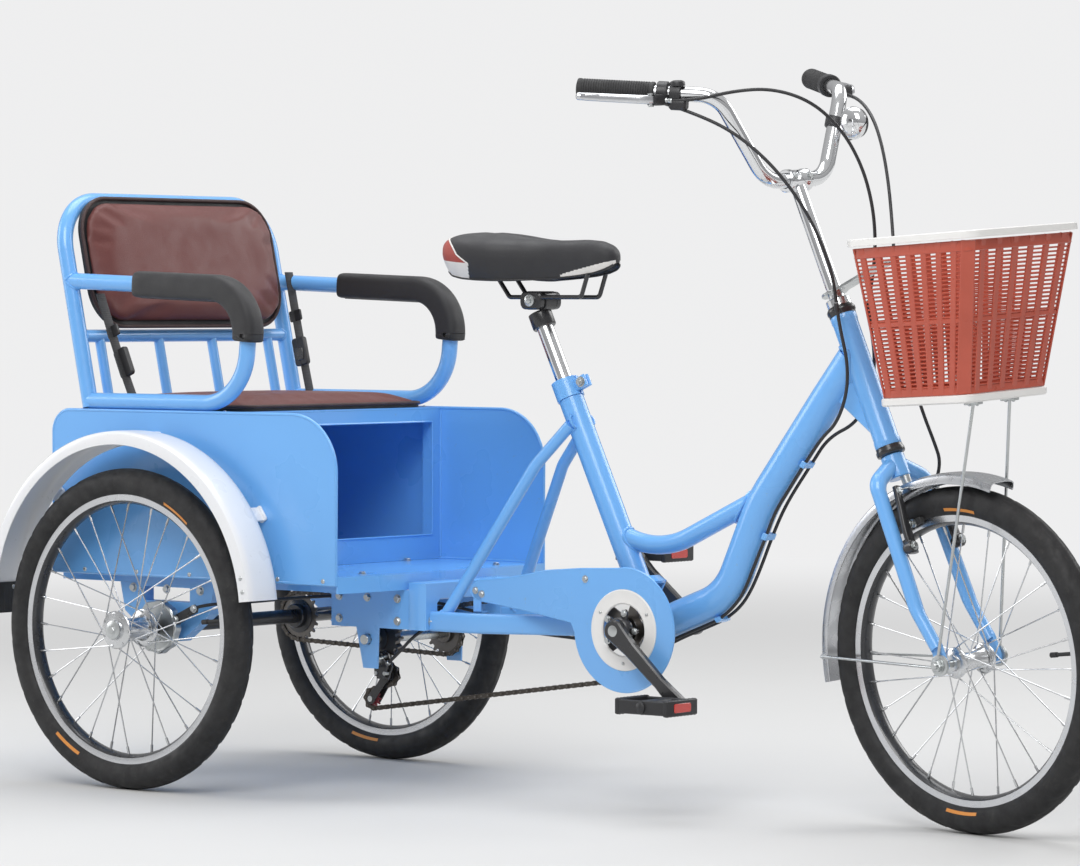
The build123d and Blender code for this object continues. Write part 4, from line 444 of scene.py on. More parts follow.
class Finish:
    """A material's node tree, with the few groups of nodes that the finishes share."""

    def __init__(self, name, color, roughness, metallic=0.0, coat=0.0, sheen=0.0):
        self.material = bpy.data.materials.new(name)
        self.material.use_nodes = True
        self.tree = self.material.node_tree
        self.shader = self.tree.nodes["Principled BSDF"]
        self.color = color
        for key, value in (
            ("Base Color", (*color, 1)), ("Roughness", roughness), ("Metallic", metallic), ("Coat Weight", coat),
            ("Coat Roughness", 0.12), ("Sheen Weight", sheen),
        ):
            self.shader.inputs[key].default_value = value
        self.place = add_node(self.tree, "TexCoord", {}).outputs["Object"]
        self.bumps = None

    def noise(self, scale, detail=4.0, rough=0.55, stretch=None):
        source = self.place
        if stretch:
            source = add_node(self.tree, "Mapping", {"Scale": stretch, "Vector": source}).outputs["Vector"]
        inputs = {"Scale": scale, "Detail": detail, "Roughness": rough, "Vector": source}
        return add_node(self.tree, "TexNoise", inputs).outputs["Fac"]

    def ramp(self, source, low, high, first, last):
        inputs = {"From Min": low, "From Max": high, "To Min": first, "To Max": last, "Value": source}
        return add_node(self.tree, "MapRange", inputs).outputs["Result"]

    def blend_color(self, factor, other):
        """Mixes the base colour, or what already feeds it, towards another colour by a factor."""
        base = self.shader.inputs["Base Color"]
        under = base.links[0].from_socket if base.is_linked else (*self.color, 1)
        node = add_node(self.tree, "Mix", {"A": under, "B": (*other, 1), "Factor": factor}, data_type="RGBA")
        self.tree.links.new(node.outputs["Result"], base)

    def mottle(self, scale, amount, tone):
        """Slow changes of tone over the surface."""
        self.blend_color(self.ramp(self.noise(scale), 0.35, 0.75, 0.0, amount), tone)

    def roughen(self, scale, low, high, stretch=None):
        rough = self.ramp(self.noise(scale, 3, 0.5, stretch), 0.3, 0.7, low, high)
        self.tree.links.new(rough, self.shader.inputs["Roughness"])

    def bump(self, height, depth_mm, strength):
        inputs = {"Strength": strength, "Distance": depth_mm * MM, "Height": height}
        if self.bumps:
            inputs["Normal"] = self.bumps
        self.bumps = add_node(self.tree, "Bump", inputs).outputs["Normal"]
        self.tree.links.new(self.bumps, self.shader.inputs["Normal"])


def toned(color, factor):
    return tuple(c * factor for c in color)


def gloss_paint(name, color, dust=(0.30, 0.27, 0.23)):
    """Sprayed gloss paint: slight orange peel, cloudy gloss, specks of dust, and a browner, darker tone towards the
    bottom.
    """
    f = Finish(name, color, 0.3, coat=0.55)
    f.mottle(3.0, 0.28, toned(color, 0.86))
    # darker and browner towards the bottom, by the height over the floor
    height = add_node(f.tree, "SeparateXYZ", {"Vector": f.place}).outputs["Z"]
    f.blend_color(f.ramp(height, 0.34, 0.02, 0.0, 0.16), dust)
    f.blend_color(f.ramp(f.noise(160, 2), 0.68, 0.8, 0.0, 0.22), dust)
    f.roughen(9.0, 0.24, 0.4)
    f.bump(f.noise(520, 2), 0.05, 0.35)
    f.bump(f.noise(46, 2), 0.25, 0.12)
    return f.material


def bare_metal(name, color, low, high, spots=0.12):
    """Plated or polished metal with cloudy gloss, fine scratches and specks of dirt."""
    f = Finish(name, color, low, 1.0)
    f.mottle(14.0, 0.35, toned(color, 0.8))
    f.blend_color(f.ramp(f.noise(240, 3), 0.66, 0.78, 0.0, spots), (0.12, 0.1, 0.09))
    f.roughen(24.0, low, high)
    f.bump(f.noise(320, 3, 0.6), 0.04, 0.3)
    return f.material


def moulded(name, color, roughness=0.5, grain=900.0, depth=0.08, mottle=0.3, coat=0.0):
    """Moulded plastic or rubber with a fine grain."""
    f = Finish(name, color, roughness, coat=coat)
    f.mottle(22.0, mottle, tuple(min(1, c * 1.35 + 0.012) for c in color))
    f.roughen(40.0, roughness - 0.08, roughness + 0.12)
    f.bump(f.noise(grain, 2), depth, 0.5)
    return f.material


def leather(name, color, grain=420.0, roughness=0.42):
    """Leathercloth: pebbled cells, fine pores, faint creases, and painted shade darkening the creases between the
    cells.
    """
    f = Finish(name, color, roughness, sheen=0.06)
    inputs = {"Scale": grain, "Vector": f.place}
    cells = add_node(f.tree, "TexVoronoi", inputs, feature="DISTANCE_TO_EDGE").outputs["Distance"]
    # painted shade: the cells' edges are darkened, as if shade lay in the creases
    f.blend_color(f.ramp(cells, 0.0, 0.09, 0.38, 0.0), toned(color, 0.45))
    f.mottle(7.0, 0.4, toned(color, 1.25))
    f.roughen(30.0, roughness - 0.06, roughness + 0.14)
    f.bump(f.ramp(cells, 0.0, 0.14, 0.0, 1.0), 0.16, 0.55)
    f.bump(f.noise(38, 4, 0.6), 0.6, 0.16)
    return f.material


def tyre_rubber():
    """Tyre rubber: matt black with a grey bloom and a trace of dust."""
    f = Finish("tyre_rubber", (0.011, 0.011, 0.012), 0.7)
    f.mottle(9.0, 0.5, (0.028, 0.027, 0.027))
    f.blend_color(f.ramp(f.noise(90, 5, 0.7), 0.55, 0.85, 0.0, 0.3), (0.09, 0.08, 0.07))
    f.roughen(60.0, 0.55, 0.8)
    f.bump(f.noise(700, 2), 0.06, 0.5)
    return f.material


def webbing():
    """Woven strap: narrow ribs both ways, from two crossed sets of waves."""
    f = Finish("woven_webbing", (0.016, 0.016, 0.017), 0.7, sheen=0.25)
    for direction in ("X", "Z"):
        inputs = {"Scale": 260.0, "Distortion": 0.4, "Vector": f.place}
        f.bump(add_node(f.tree, "TexWave", inputs, bands_direction=direction).outputs["Fac"], 0.3, 0.6)
    f.mottle(60.0, 0.4, (0.04, 0.04, 0.042))
    return f.material


BLUE = (0.16, 0.44, 0.88)
M = {
    "frame_paint": gloss_paint("blue_tube_paint", BLUE),
    "sheet_paint": gloss_paint("blue_sheet_paint", BLUE),
    "white_paint": gloss_paint("white_sheet_paint", (0.83, 0.84, 0.86), (0.42, 0.39, 0.35)),
    "dark_paint": moulded("black_enamel", (0.018, 0.018, 0.02), 0.3, 300, 0.03, coat=0.4),
    "chrome": bare_metal("bright_chrome", (0.80, 0.81, 0.82), 0.05, 0.14, spots=0.06),
    "alloy": bare_metal("polished_alloy", (0.68, 0.69, 0.71), 0.16, 0.3),
    "guard_alloy": bare_metal("rolled_alloy", (0.60, 0.61, 0.63), 0.2, 0.36),
    "zinc": bare_metal("zinc_plate", (0.56, 0.58, 0.58), 0.22, 0.42, spots=0.3),
    "spoke_steel": bare_metal("spoke_steel", (0.66, 0.67, 0.68), 0.16, 0.3),
    "chain_steel": bare_metal("oiled_chain", (0.10, 0.09, 0.08), 0.28, 0.5, spots=0.5),
    "cog_steel": bare_metal("dark_cog_steel", (0.16, 0.15, 0.14), 0.28, 0.48, spots=0.5),
    "tyre": tyre_rubber(),
    "rubber": moulded("matt_rubber", (0.022, 0.022, 0.023), 0.62),
    "black_plastic": moulded("black_plastic", (0.02, 0.02, 0.022), 0.42),
    "white_plastic": moulded("white_plastic", (0.80, 0.79, 0.77), 0.36, 500, 0.03, 0.1, 0.2),
    "red_plastic": moulded("brick_red_plastic", (0.44, 0.074, 0.04), 0.34, 600, 0.05, 0.35, 0.25),
    "orange_mark": moulded("orange_mark", (0.62, 0.24, 0.045), 0.5, 600, 0.02),
    "amber": moulded("amber_reflector", (0.72, 0.22, 0.03), 0.16, 300, 0.02, 0.2, 0.6),
    "seat_leather": leather("maroon_leathercloth", (0.135, 0.036, 0.031)),
    "saddle_leather": leather("black_leathercloth", (0.022, 0.022, 0.025), 700, 0.46),
    "saddle_red": leather("brick_leathercloth", (0.36, 0.06, 0.045), 700, 0.44),
    "saddle_white": leather("white_leathercloth", (0.75, 0.73, 0.70), 700, 0.42),
    "pad_foam": leather("black_pad_cover", (0.018, 0.018, 0.02), 900, 0.5),
    "piping": leather("dark_piping", (0.045, 0.02, 0.019), 900, 0.5),
    "jockey_red": moulded("dark_red_wheel", (0.16, 0.022, 0.03), 0.4),
    "pedal_red": moulded("red_reflector", (0.55, 0.03, 0.02), 0.16, 300, 0.02, 0.2, 0.6),
    "webbing": webbing(),
    # gloss black: painted shade in the rims' inner wells, and the buckles' real black top plates
    "gloss_black_and_rim_shade": moulded("gloss_black_and_painted_rim_shade", (0.02, 0.021, 0.024), 0.28, 200, 0.02, coat=0.5),
}
RECORD_SLOTS = {entry["node"]: entry["material_slot"] for entry in frame["record"]["subparts"]}

for name, node in NODES.items():
    node.data.materials.clear()
    node.data.materials.append(M[RECORD_SLOTS[name]])
    for polygon in node.data.polygons:
        polygon.material_index = 0

# Wheels: tyre with tread, rim, spokes with nipples, hub and valve
TYRE_RING_R = 223.0
TYRE_TUBE_R = 22.0
TREAD_STEPS = 420
SPOKE_COUNT = 28
SPOKE_LEAN = 62.0


def tread_drop(turn, step):
    """How far the surface lies under the tread's crown, from the grooves and the block pattern."""
    across = degrees(turn)
    if abs(abs(across) - 12) < 3.6:
        return 1.1
    if 15 < abs(across) < 50:
        slanted = (step + (6 if across > 0 else 0) + abs(across) * 0.16) % 12
        return 1.3 if slanted < 3.2 else 0.0
    return -0.35 if abs(abs(across) - 74) < 3.6 or abs(abs(across) - 118) < 3.6 else 0.0


def make_tyre(name, spot):
    """Points round the cut from bead over the tread to the other bead, carried round the wheel."""
    turns = [radians(-142 + 284 * i / 40) for i in range(41)]
    profile = [(TYRE_RING_R + TYRE_TUBE_R * cos(turn), TYRE_TUBE_R * sin(turn)) for turn in turns]
    verts = []
    for step in range(TREAD_STEPS):
        angle = tau * step / TREAD_STEPS
        for turn, (radius, height) in zip(turns, profile):
            drop = tread_drop(turn, step)
            r = radius - drop * cos(turn) - max(0.0, radius - (WHEEL_R - 0.05))
            verts.append(spot @ Vector((r * cos(angle), r * sin(angle), height - drop * sin(turn))))
    piece.add(verts, lathed(spot, profile, TREAD_STEPS, closed=True)[1])
    piece.join(f"tyre_{name}_rubber", f"{name}_wheel", "tyre", [M["tyre"]], replaces=[f"tyre_{name}"], angle=50)


def make_wheel(name, spot, flange_r, barrel_r, bore_r, flange_y=29.5):
    """Rim with bright sides and a black inner well that is painted shade, laced spokes and a turned hub."""
    rim = mirrored([
        (209.0, -11.6), (210.4, -12.6), (209.8, -13.2), (206.0, -13.2), (196.4, -12.4), (195.4, -11.4), (191.8, -6.6),
    ], (190.6, 0.0)) + [(203.5, 9.0), (202.0, 0.0), (203.5, -9.0)]
    lathe(spot, rim, 160, closed=True)
    # painted shade: the rim's hub-facing inner well gets the black finish
    for index in range(len(piece.slots)):
        if 4 <= index % len(rim) <= 9:
            piece.slots[index] = 1
    for i in range(SPOKE_COUNT):
        side, crossing = (1 if i % 2 else -1), (1 if (i // 2) % 2 else -1)
        turn = tau * i / SPOKE_COUNT
        hub_turn = turn + radians(SPOKE_LEAN * crossing)
        reach = flange_r - 4
        foot = Vector((reach * cos(hub_turn), reach * sin(hub_turn), side * (flange_y + 1.9 * crossing)))
        tip = Vector((191.5 * cos(turn), 191.5 * sin(turn), side * 2.5))
        way = (tip - foot).normalized()
        for start, end, radius in (
            (foot, tip, 1.05), (tip - way * 12, tip - way, 2.0), (foot - way * 1.5, foot + way * 2.5, 1.9),
        ):
            sweep([spot @ start, spot @ end], round_section(radius, 8), slot=2)
    half = flange_y + 1.5
    hub = mirrored([
        (bore_r + 0.3, -half - 7), (barrel_r - 3, -half - 7), (barrel_r - 2.5, -half - 5.5),
        (barrel_r - 2.5, -half - 2), (flange_r - 1, -half - 0.6), (flange_r, -half + 0.4), (flange_r, -half + 2.2),
        (flange_r - 1, -half + 3), (barrel_r + 2, -half + 4.5), (barrel_r - 1, -half + 9),
    ], (barrel_r - 2, 0))
    lathe(spot, hub, 56, closed=True, slot=2)
    valve = pi / SPOKE_COUNT
    out = Vector((cos(valve), sin(valve), 0))
    sweep([spot @ (out * 192), spot @ (out * 160)], round_section(2.9, 10), slot=3)
    sweep([spot @ (out * 162), spot @ (out * 151)], round_section(3.9, 10), slot=3)
    materials = [M[key] for key in ("alloy", "gloss_black_and_rim_shade", "spoke_steel", "rubber")]
    piece.join(f"wheel_{name}_laced", f"{name}_wheel", "alloy", materials, replaces=[f"wheel_{name}"])


for name, spot in WHEELS.items():
    make_tyre(name, spot)
    make_wheel(name, spot, *((22.0, 14.0, 5.0) if name == "front" else (29.0, 18.0, 11.0)))

# Short plain bars on the sidewalls
MARK_R = TYRE_RING_R - TYRE_TUBE_R * cos(radians(42))
MARK_HALF = radians(7.5)
for name, starts in (("right", (58, 238)), ("left", (100, 280)), ("front", (-92, 88))):
    for side in (1, -1):
        for start in starts:
            verts = []
            for i in range(17):
                angle = radians(start) - MARK_HALF + 2 * MARK_HALF * i / 16
                for r in (MARK_R + 5.0, MARK_R + 9.5):
                    depth = sqrt(max(0.0, TYRE_TUBE_R**2 - (r - TYRE_RING_R) ** 2)) + 0.45
                    verts.append(WHEELS[name] @ Vector((r * cos(angle), r * sin(angle), side * depth)))
            piece.add(verts, [(2 * i, 2 * i + 2, 2 * i + 3, 2 * i + 1) for i in range(16)])
    piece.join(f"tyre_{name}_marks", f"{name}_wheel", "tyre", [M["orange_mark"]])

SEAT_FOOT, SEAT_TOP = at(UPRIGHT, [BOTTOM, (613, 600)])
SEAT_WAY = (SEAT_TOP - SEAT_FOOT).normalized()
SEAT_RUN = (SEAT_TOP - SEAT_FOOT).length / MM
SEATED = place(SEAT_FOOT, Y.cross(SEAT_WAY), SEAT_WAY)
HEAD_R = 18.5

# Head tube with its flared ends, and the headset cups
lathe(FORKED, [
    (15.5, 589), (18.9, 589), (19.4, 590), (19.4, 598), (HEAD_R, 601), (HEAD_R, 779), (19.4, 782), (19.4, 790),
    (18.9, 791), (15.5, 791),
], 56, closed=True)
node_piece("head_tube")
for cup in (
    [(12.9, 576), (18, 576), (20.4, 577.5), (21, 580), (21, 584), (19.6, 586), (19.6, 589), (12.9, 589)],
    [(12.9, 791), (19.6, 791), (19.6, 794), (21, 796), (21, 800), (19, 803), (16.5, 804), (12.9, 804)],
):
    lathe(FORKED, cup, 56, closed=True)
node_piece("headset_cups")

# Main tube, narrowed where it meets the head tube, and its gusset, then seat tube and brace, with weld beads
MAIN = at(UPRIGHT, [(1122, 666), (965, 455), (905, 318), (785, 271)])
MAIN_R = 25.0
first_way = (MAIN[1] - MAIN[0]).normalized()
route = [MAIN[0] + first_way * MM * 9 * i for i in range(9)] + eased(MAIN, [220, 95], 4)[1:]
near = 9 / len(route)
sweep(route, round_section(MAIN_R, 48), up=Z, twist=lambda share, section: scaled(
    section, min(1.0, 0.72 + 0.28 * share / near), 1,
))
slab(shifted(UPRIGHT, z=-9), [(1098, 606), (1160, 557.5), (1183, 567), (1126, 674)], 0, 18, bevel=2.5)
weld(MAIN[0], first_way, MAIN_R, STEER_PIN, STEER_UP, HEAD_R, wide=19)
weld(SEAT_FOOT, MAIN[2] - MAIN[3], MAIN_R, SEAT_FOOT, Y, 23)
node_piece("main_tube")
lathe(CRANK, mirrored([(9, -35), (22, -35), (23, -34), (23, -30), (22.4, -29)]), 48, closed=True)
tube([SEAT_FOOT, SEAT_TOP], 38)
weld(SEAT_FOOT, SEAT_WAY, 19, SEAT_FOOT, Y, 22.4)
node_piece("seat_tube")
BRACE = at(UPRIGHT, [(706.9, 401.6), (785, 378), (960, 462)])
tube(BRACE, 28, [140], step=4)
weld(BRACE[0], BRACE[1] - BRACE[0], 14, SEAT_FOOT, SEAT_WAY, 19)
weld(BRACE[2], BRACE[1] - BRACE[2], 14, MAIN[1], MAIN[0] - MAIN[2], MAIN_R)
node_piece("brace_tube")

# Seat clamp with its split and bolt, and the seat post
clamp_ring = arc(21, 6, 348, 48) + arc(12.9, 354, -348, 48)
slab(shifted(SEATED, z=SEAT_RUN + 0.3), clamp_ring, 0, 29.7, soft=True)
for side in SIDES:
    slab(shifted(SEATED, z=SEAT_RUN + 5), rectangle(22, 5.5, 2, x=30, y=side * 4.3), 0, 18, bevel=0.8)
lug_bolt = spun(shifted(SEATED, x=32, z=SEAT_RUN + 14), pi / 2, axis="X")
lathe(lug_bolt, rod(3, -14, 14), 16, slot=1)
for side in (1, -1):
    bolt(facing(shifted(lug_bolt, z=7 * side), side), 5.5, 4.5, 1)
node_piece("seat_clamp", "zinc")
POST_END = SEAT_RUN + 142.0
post = [(0, SEAT_RUN - 88), (12.7, SEAT_RUN - 88), (12.7, POST_END - 1.5), (11.2, POST_END), (0, POST_END)]
lathe(SEATED, post, 40)
node_piece("seat_post")

# Chain stays, seat stays and the cross member under the box
for side in SIDES:
    stay = [(418.25, 264, side * 86), (500, 264, side * 86), (640, 264, side * 24), (757, 264, side * 20.4)]
    sweep(eased(at(UPRIGHT, stay), [80, 80], 5), rounded_section(20, 30, 5), up=Z)
node_piece("chain_stays")
for side in SIDES:
    stay = tube(at(UPRIGHT, [(627, 562, side * 20), (571, 500, side * 34), (441, 275, side * 83.9)]), 18, [60])
    weld(stay[0], stay[1] - stay[0], 9, SEAT_FOOT, SEAT_WAY, 19, bead=2.0)
    weld(stay[-1], stay[-2] - stay[-1], 9, stay[-1], Y, 3, bead=2.2)
node_piece("seat_stays")
ACROSS = place(BODY @ Vector((384, 0, 0)), Y, X)
arch = [(-105, 322), (-105, 250), (-76, 250), (-76, 290), (-70, 296)]
slab(ACROSS, arch + [(-y, z) for y, z in reversed(arch)], 0, 34, bevel=1.6)
for side in SIDES:
    bolt(shifted(ACROSS, x=side * 90, y=264, z=34), 6, 4, 1)
node_piece("cross_member", "zinc")

# Fork: crown sleeve, curved blades that thin towards their ends, and dropouts
crown = [(0, 541), (15.5, 541), (17, 542.5), (17, 573.5), (16, 575.4), (12.6, 575.4), (12.6, 803.6), (0, 803.6)]
lathe(FORKED, crown, 48)
for side in SIDES:
    blade = at(FORK_VIEW, [(0, 561, side * 8), (0, 537, side * 51), (-2, 346.2, side * 56), (10.6, 286.2, side * 56)])
    sweep(eased(blade, [24, 90], 6), round_section(12, 32), twist=lambda share, section: scaled(
        section, 1.0 - 0.22 * max(0.0, share - 0.4) / 0.6,
    ))
    dropout = arc(10, 0, 180, 16, 10.6, 291.2) + arc(10, 180, 180, 16, 10.6, 261.2)
    slab(shifted(FORK_VIEW, z=side * 56 - 3), dropout, 0, 6, bevel=1)
node_piece("fork")

# Stem with its clamp, and the handlebar
CLAMP_H = 1002
stem = [(11, 804.4), (18, 804.4), (18, 814.5), (16.5, 816), (11.4, 816.2), (11, CLAMP_H), (0, CLAMP_H)]
lathe(FORKED, stem, 48)
clamp = mirrored([(11.2, -22), (15.3, -22), (16.5, -21), (16.5, -13), (15.2, -11)])
lathe(shifted(FORK_VIEW, y=CLAMP_H), clamp, 48, closed=True)
for side in SIDES:
    bolt(spun(shifted(FORK_VIEW, x=15.4, y=CLAMP_H, z=side * 15), pi / 2, axis="Y"), 3.4, 3.2, 1)
node_piece("stem", "zinc")


def bar_points(side):
    """Foot of a riser, its top and the bar's end, in the view of the steered pieces."""
    foot = Vector((-396.3, 920.3, -side * 61))
    top = foot + Vector((-24, 126, -side * 67))
    return foot, top, top + Vector((-167, 18, -side * 114))


bar = [*reversed(bar_points(1)), *bar_points(-1)]
bar[2].xy = bar[3].xy = (-396.6, 920.9)
tube(at(STEER_VIEW, bar), 22, [45] * 4, step=5)
node_piece("handlebar")

# Bench frames: backrest loop with its rail and bars, and the two armrests
BACK_LEAN = radians(12.4)
BACK = place(UPRIGHT @ Vector((-147, 580.2, 0)), Y, (cos(BACK_LEAN), 0, sin(BACK_LEAN)))
BACK_UP = BACK.col[1].xyz
BACK_H, BACK_RAIL_H, BENCH_HALF = 329.3, 112.4, 240
tube(at(BACK, [(-BENCH_HALF, 0), (-BENCH_HALF, BACK_H), (BENCH_HALF, BACK_H), (BENCH_HALF, 0)]), 25, [80, 80], step=5)
tube(at(BACK, [(-BENCH_HALF, BACK_RAIL_H), (BENCH_HALF, BACK_RAIL_H)]), 20)
for y in (-196, -62, 62, 196):
    tube(at(BACK, [(y, 0), (y, BACK_RAIL_H)]), 16)
for side in SIDES:
    rail_end, post_foot = at(BACK, [(side * BENCH_HALF, BACK_RAIL_H), (side * BENCH_HALF, 0)])
    weld(rail_end, Y * -side, 10, post_foot, BACK_UP, 12.5, bead=1.8)
node_piece("backrest_frame")
for side in SIDES:
    arm = [(-190, 776), (188, 762), (172, 589.9), (-147, 589.9)]
    arm = tube(at(UPRIGHT, [(x, z, side * BENCH_HALF) for x, z in arm]), 25, [68, 84], step=5)
    weld(arm[0], arm[1] - arm[0], 12.5, BACK @ Vector((-side * BENCH_HALF, 0, 0)), BACK_UP, 12.5, bead=2)
node_piece("armrests")

# Soft goods: padded panels swollen by a cloth simulation, their boards and their piping
VOXEL_M = 0.0055
PAD_PRESSURE = 4.0
PAD_FRAMES = 20


def evaluated(obj):
    return bpy.data.meshes.new_from_object(obj.evaluated_get(bpy.context.evaluated_depsgraph_get()))


def swollen(name, spot, outline, low, high, crown, cap):
    """A pad's mesh: a crowned slab remeshed to even cells, blown up a little as cloth, then subdivided."""
    verts, faces = slabbed(spot, outline, low, high, bevel=5)
    mesh = bpy.data.meshes.new(name)
    mesh.from_pydata([tuple(v) for v in verts], [], faces)
    obj = linked(name, mesh)
    remesh = obj.modifiers.new("cells", "REMESH")
    remesh.mode = "VOXEL"
    remesh.voxel_size = VOXEL_M
    mesh = evaluated(obj)
    obj.modifiers.clear()
    obj.data = mesh
    back = spot.inverted()
    (left, right), (near, far) = ((min(side), max(side)) for side in zip(*outline))
    held = obj.vertex_groups.new(name="held")
    for vertex in mesh.vertices:
        local = back @ vertex.co
        if local.z < low + 3:
            held.add([vertex.index], 1.0, "REPLACE")
            continue
        u, v = (local.x - (left + right) / 2) / ((right - left) / 2), (local.y - (near + far) / 2) / ((far - near) / 2)
        rise = max(0.0, 1 - u**6) * max(0.0, 1 - v**4) * (local.z - low) / (high - low)
        vertex.co = spot @ (local + Vector((0, 0, crown * rise)))
    start = [vertex.co.copy() for vertex in mesh.vertices]
    cloth = obj.modifiers.new("cover", "CLOTH")
    cloth.settings.quality = 5
    cloth.settings.mass = 0.3
    cloth.settings.use_pressure = True
    cloth.settings.uniform_pressure_force = PAD_PRESSURE
    cloth.settings.effector_weights.gravity = 0
    cloth.settings.vertex_group_mass = "held"
    cloth.point_cache.frame_start, cloth.point_cache.frame_end = 1, PAD_FRAMES
    for number in range(1, PAD_FRAMES + 1):
        bpy.context.scene.frame_set(number)
    blown = evaluated(obj)
    obj.modifiers.clear()
    for vertex, moved, old in zip(mesh.vertices, blown.vertices, start):
        step = moved.co - old
        if step.length > cap * MM:
            step = step.normalized() * cap * MM
        vertex.co = old + step
    bpy.context.scene.frame_set(1)
    obj.modifiers.new("smooth", "SMOOTH").iterations = 4
    finer = obj.modifiers.new("finer", "SUBSURF")
    finer.levels = finer.render_levels = 1
    mesh = evaluated(obj)
    bpy.data.objects.remove(obj)
    mesh.polygons.foreach_set("use_smooth", [True] * len(mesh.polygons))
    return mesh


def cushion(name, node, *sizes):
    mesh = swollen(name, *sizes)
    mesh.materials.clear()
    mesh.materials.append(M["seat_leather"])
    stand_for(linked(name, mesh), node)


def piping(spot, outline, height, radius):
    sweep(at(spot, [(x, y, height) for x, y in outline]), round_section(radius, 10), closed=True, slot=1)


def back_outline(inset, corner=62.0):
    return rectangle(447.0 - inset, 212.9 - inset, corner, y=225.9, steps=14)


def seat_outline(width, height, corner=20):
    return rectangle(width, height, corner, x=15.0, steps=8)


cushion("backrest_pad", "backrest_cushion", BACK, back_outline(18, 56.0), 18.0, 34.5, 5.0, 6.0)
slab(BACK, back_outline(4), 12.9, 19.5, bevel=1.2)
piping(BACK, back_outline(7), 21.5, 3.0)
for y in (150, 302):
    for x in (-150, 0, 150):
        bolt(facing(shifted(BACK, x=x, y=y, z=12.9), -1), 4, 2, 2)
piece.join("backrest_board", "frame", "seat_leather", [M["pad_foam"], M["piping"], M["zinc"]])
cushion("bench_pad", "bench_cushion", BODY, seat_outline(268, 416), 579.5, 592.0, 6.0, 5.0)
slab(BODY, seat_outline(272, 420), 577.3, 581.5, bevel=1)
piping(BODY, seat_outline(274, 422, 22), 584.5, 2.6)
piece.join("bench_board", "frame", "seat_leather", [M["pad_foam"], M["piping"]])

# Armrest pads: a flat-sided sleeve with rolled ends and a seam underneath
PAD_WIDE, PAD_HIGH = 39, 41
pad_section = []
for i in range(40):
    a, b = cos(tau * i / 40), sin(tau * i / 40)
    pad_section.append((
        PAD_WIDE / 2 * MM * abs(a) ** 0.62 * (1 if a > 0 else -1),
        PAD_HIGH / 2 * MM * abs(b) ** (0.5 if b > 0 else 0.32) * (1 if b > 0 else -1),
    ))
PAD_ENDS = [0.80, 0.90, 0.96, 0.99]
for side in SIDES:
    arm = eased(at(UPRIGHT, [(x, z, side * BENCH_HALF) for x, z in [(-44, 770.6), (188, 762), (180.7, 684)]]), [68], 4)
    first, last = (arm[1] - arm[0]).normalized(), (arm[-1] - arm[-2]).normalized()
    route = [arm[0] + first * MM * d for d in (0, 0.6, 2, 5, 12, 30, 60, 90, 120)] + arm[1:-1]
    route += [arm[-1] - last * MM * d for d in (12, 5, 2, 0.6, 0)]
    shrink = PAD_ENDS + [1.0] * (len(route) - 8) + PAD_ENDS[::-1]
    sweep(route, pad_section, up=Z, twist=lambda share, section: scaled(
        section, shrink[int(round(share * (len(shrink) - 1)))],
    ))
    under = [point - way[2] * 20.6 * MM for point, way in zip(route[3:-3], frames_along(route[3:-3], up=Z))]
    sweep(under, round_section(0.9, 6), slot=1)
node_piece("armrest_pads", "webbing", main="pad_foam", angle=60)

# Lap straps with their buckles
for side, top, low in ((-1, (-140, 756), (-64, 584)), (1, (-150, 792), (-100, 584))):
    start, end = at(UPRIGHT, [(*top, -side * 226.4), (*low, -side * 226.4)])
    run = end - start
    middle = [start + run * t + Vector((0, 0, -1)) * MM * 5 * sin(pi * t) for t in [i / 16 for i in range(17)]]
    sweep(middle, rounded_section(1.8, 19, 0.6, 2), up=Y)
    buckle, slide = (shifted(place(start + run * share, run, -Y * side), z=1.0) for share in (0.62, 0.34))
    slab(buckle, rectangle(46, 27, 5), -1, 8, bevel=1.6, slot=1)
    slab(buckle, rectangle(20, 16, 3, x=4), 8, 9.4, bevel=0.6, slot=2)
    slab(slide, rectangle(18, 25, 3), -1, 3, bevel=0.8, slot=1)
node_piece("seat_belts", "black_plastic", "gloss_black_and_rim_shade")

# Saddle: lofted from stations of (x, half width, top, edge, foot), with a coloured rear and pale edges
SADDLE_STATIONS = [
    (418.0, 40, 834, 815, 802), (421.5, 62, 841, 816, 797), (430, 82, 846, 817, 790), (444, 93, 849, 818, 784),
    (465, 97, 850, 817, 780), (490, 94, 848, 815, 778), (515, 84, 845, 813, 777), (538, 68, 842, 812, 777),
    (560, 51, 839.5, 812, 778), (585, 38, 838, 812, 779), (615, 30.5, 837.5, 811, 781), (645, 27, 837.5, 809, 784),
    (670, 24, 835.5, 808, 788), (686, 20, 830, 808, 793), (695, 14, 823.5, 808, 798), (699.5, 5, 815, 808.5, 803),
]
SADDLE_BACK, SADDLE_RUN = 418.0, 281.5


def station(x):
    """The saddle's sizes at x, in even steps from one station to the next."""
    for before, after in zip(SADDLE_STATIONS, SADDLE_STATIONS[1:]):
        if before[0] <= x <= after[0]:
            t = (x - before[0]) / (after[0] - before[0])
            return [a + (b - a) * t for a, b in zip(before, after)]
    return list(SADDLE_STATIONS[-1])


def saddle_point(x, turn):
    """A point of the cover: turn runs from -90 to 90 degrees over the top, and on down the skirt."""
    _, w, top, edge, foot = station(x)
    if abs(turn) <= 90:
        s, c = sin(radians(turn)), cos(radians(turn))
        y = w * abs(s) ** 0.86 * (1 if s > 0 else -1)
        z = edge + (top - edge) * c**0.62
        z -= 3.0 * max(0.0, 1 - abs(x - 520) / 120) * max(0.0, 1 - (y / 16) ** 2)
    else:
        down = (abs(turn) - 90) / 60
        y = (w * (1 - 0.20 * down**1.6)) * (1 if turn > 0 else -1)
        z = edge - (edge - foot) * down
    return UPRIGHT @ Vector((x, z, y))


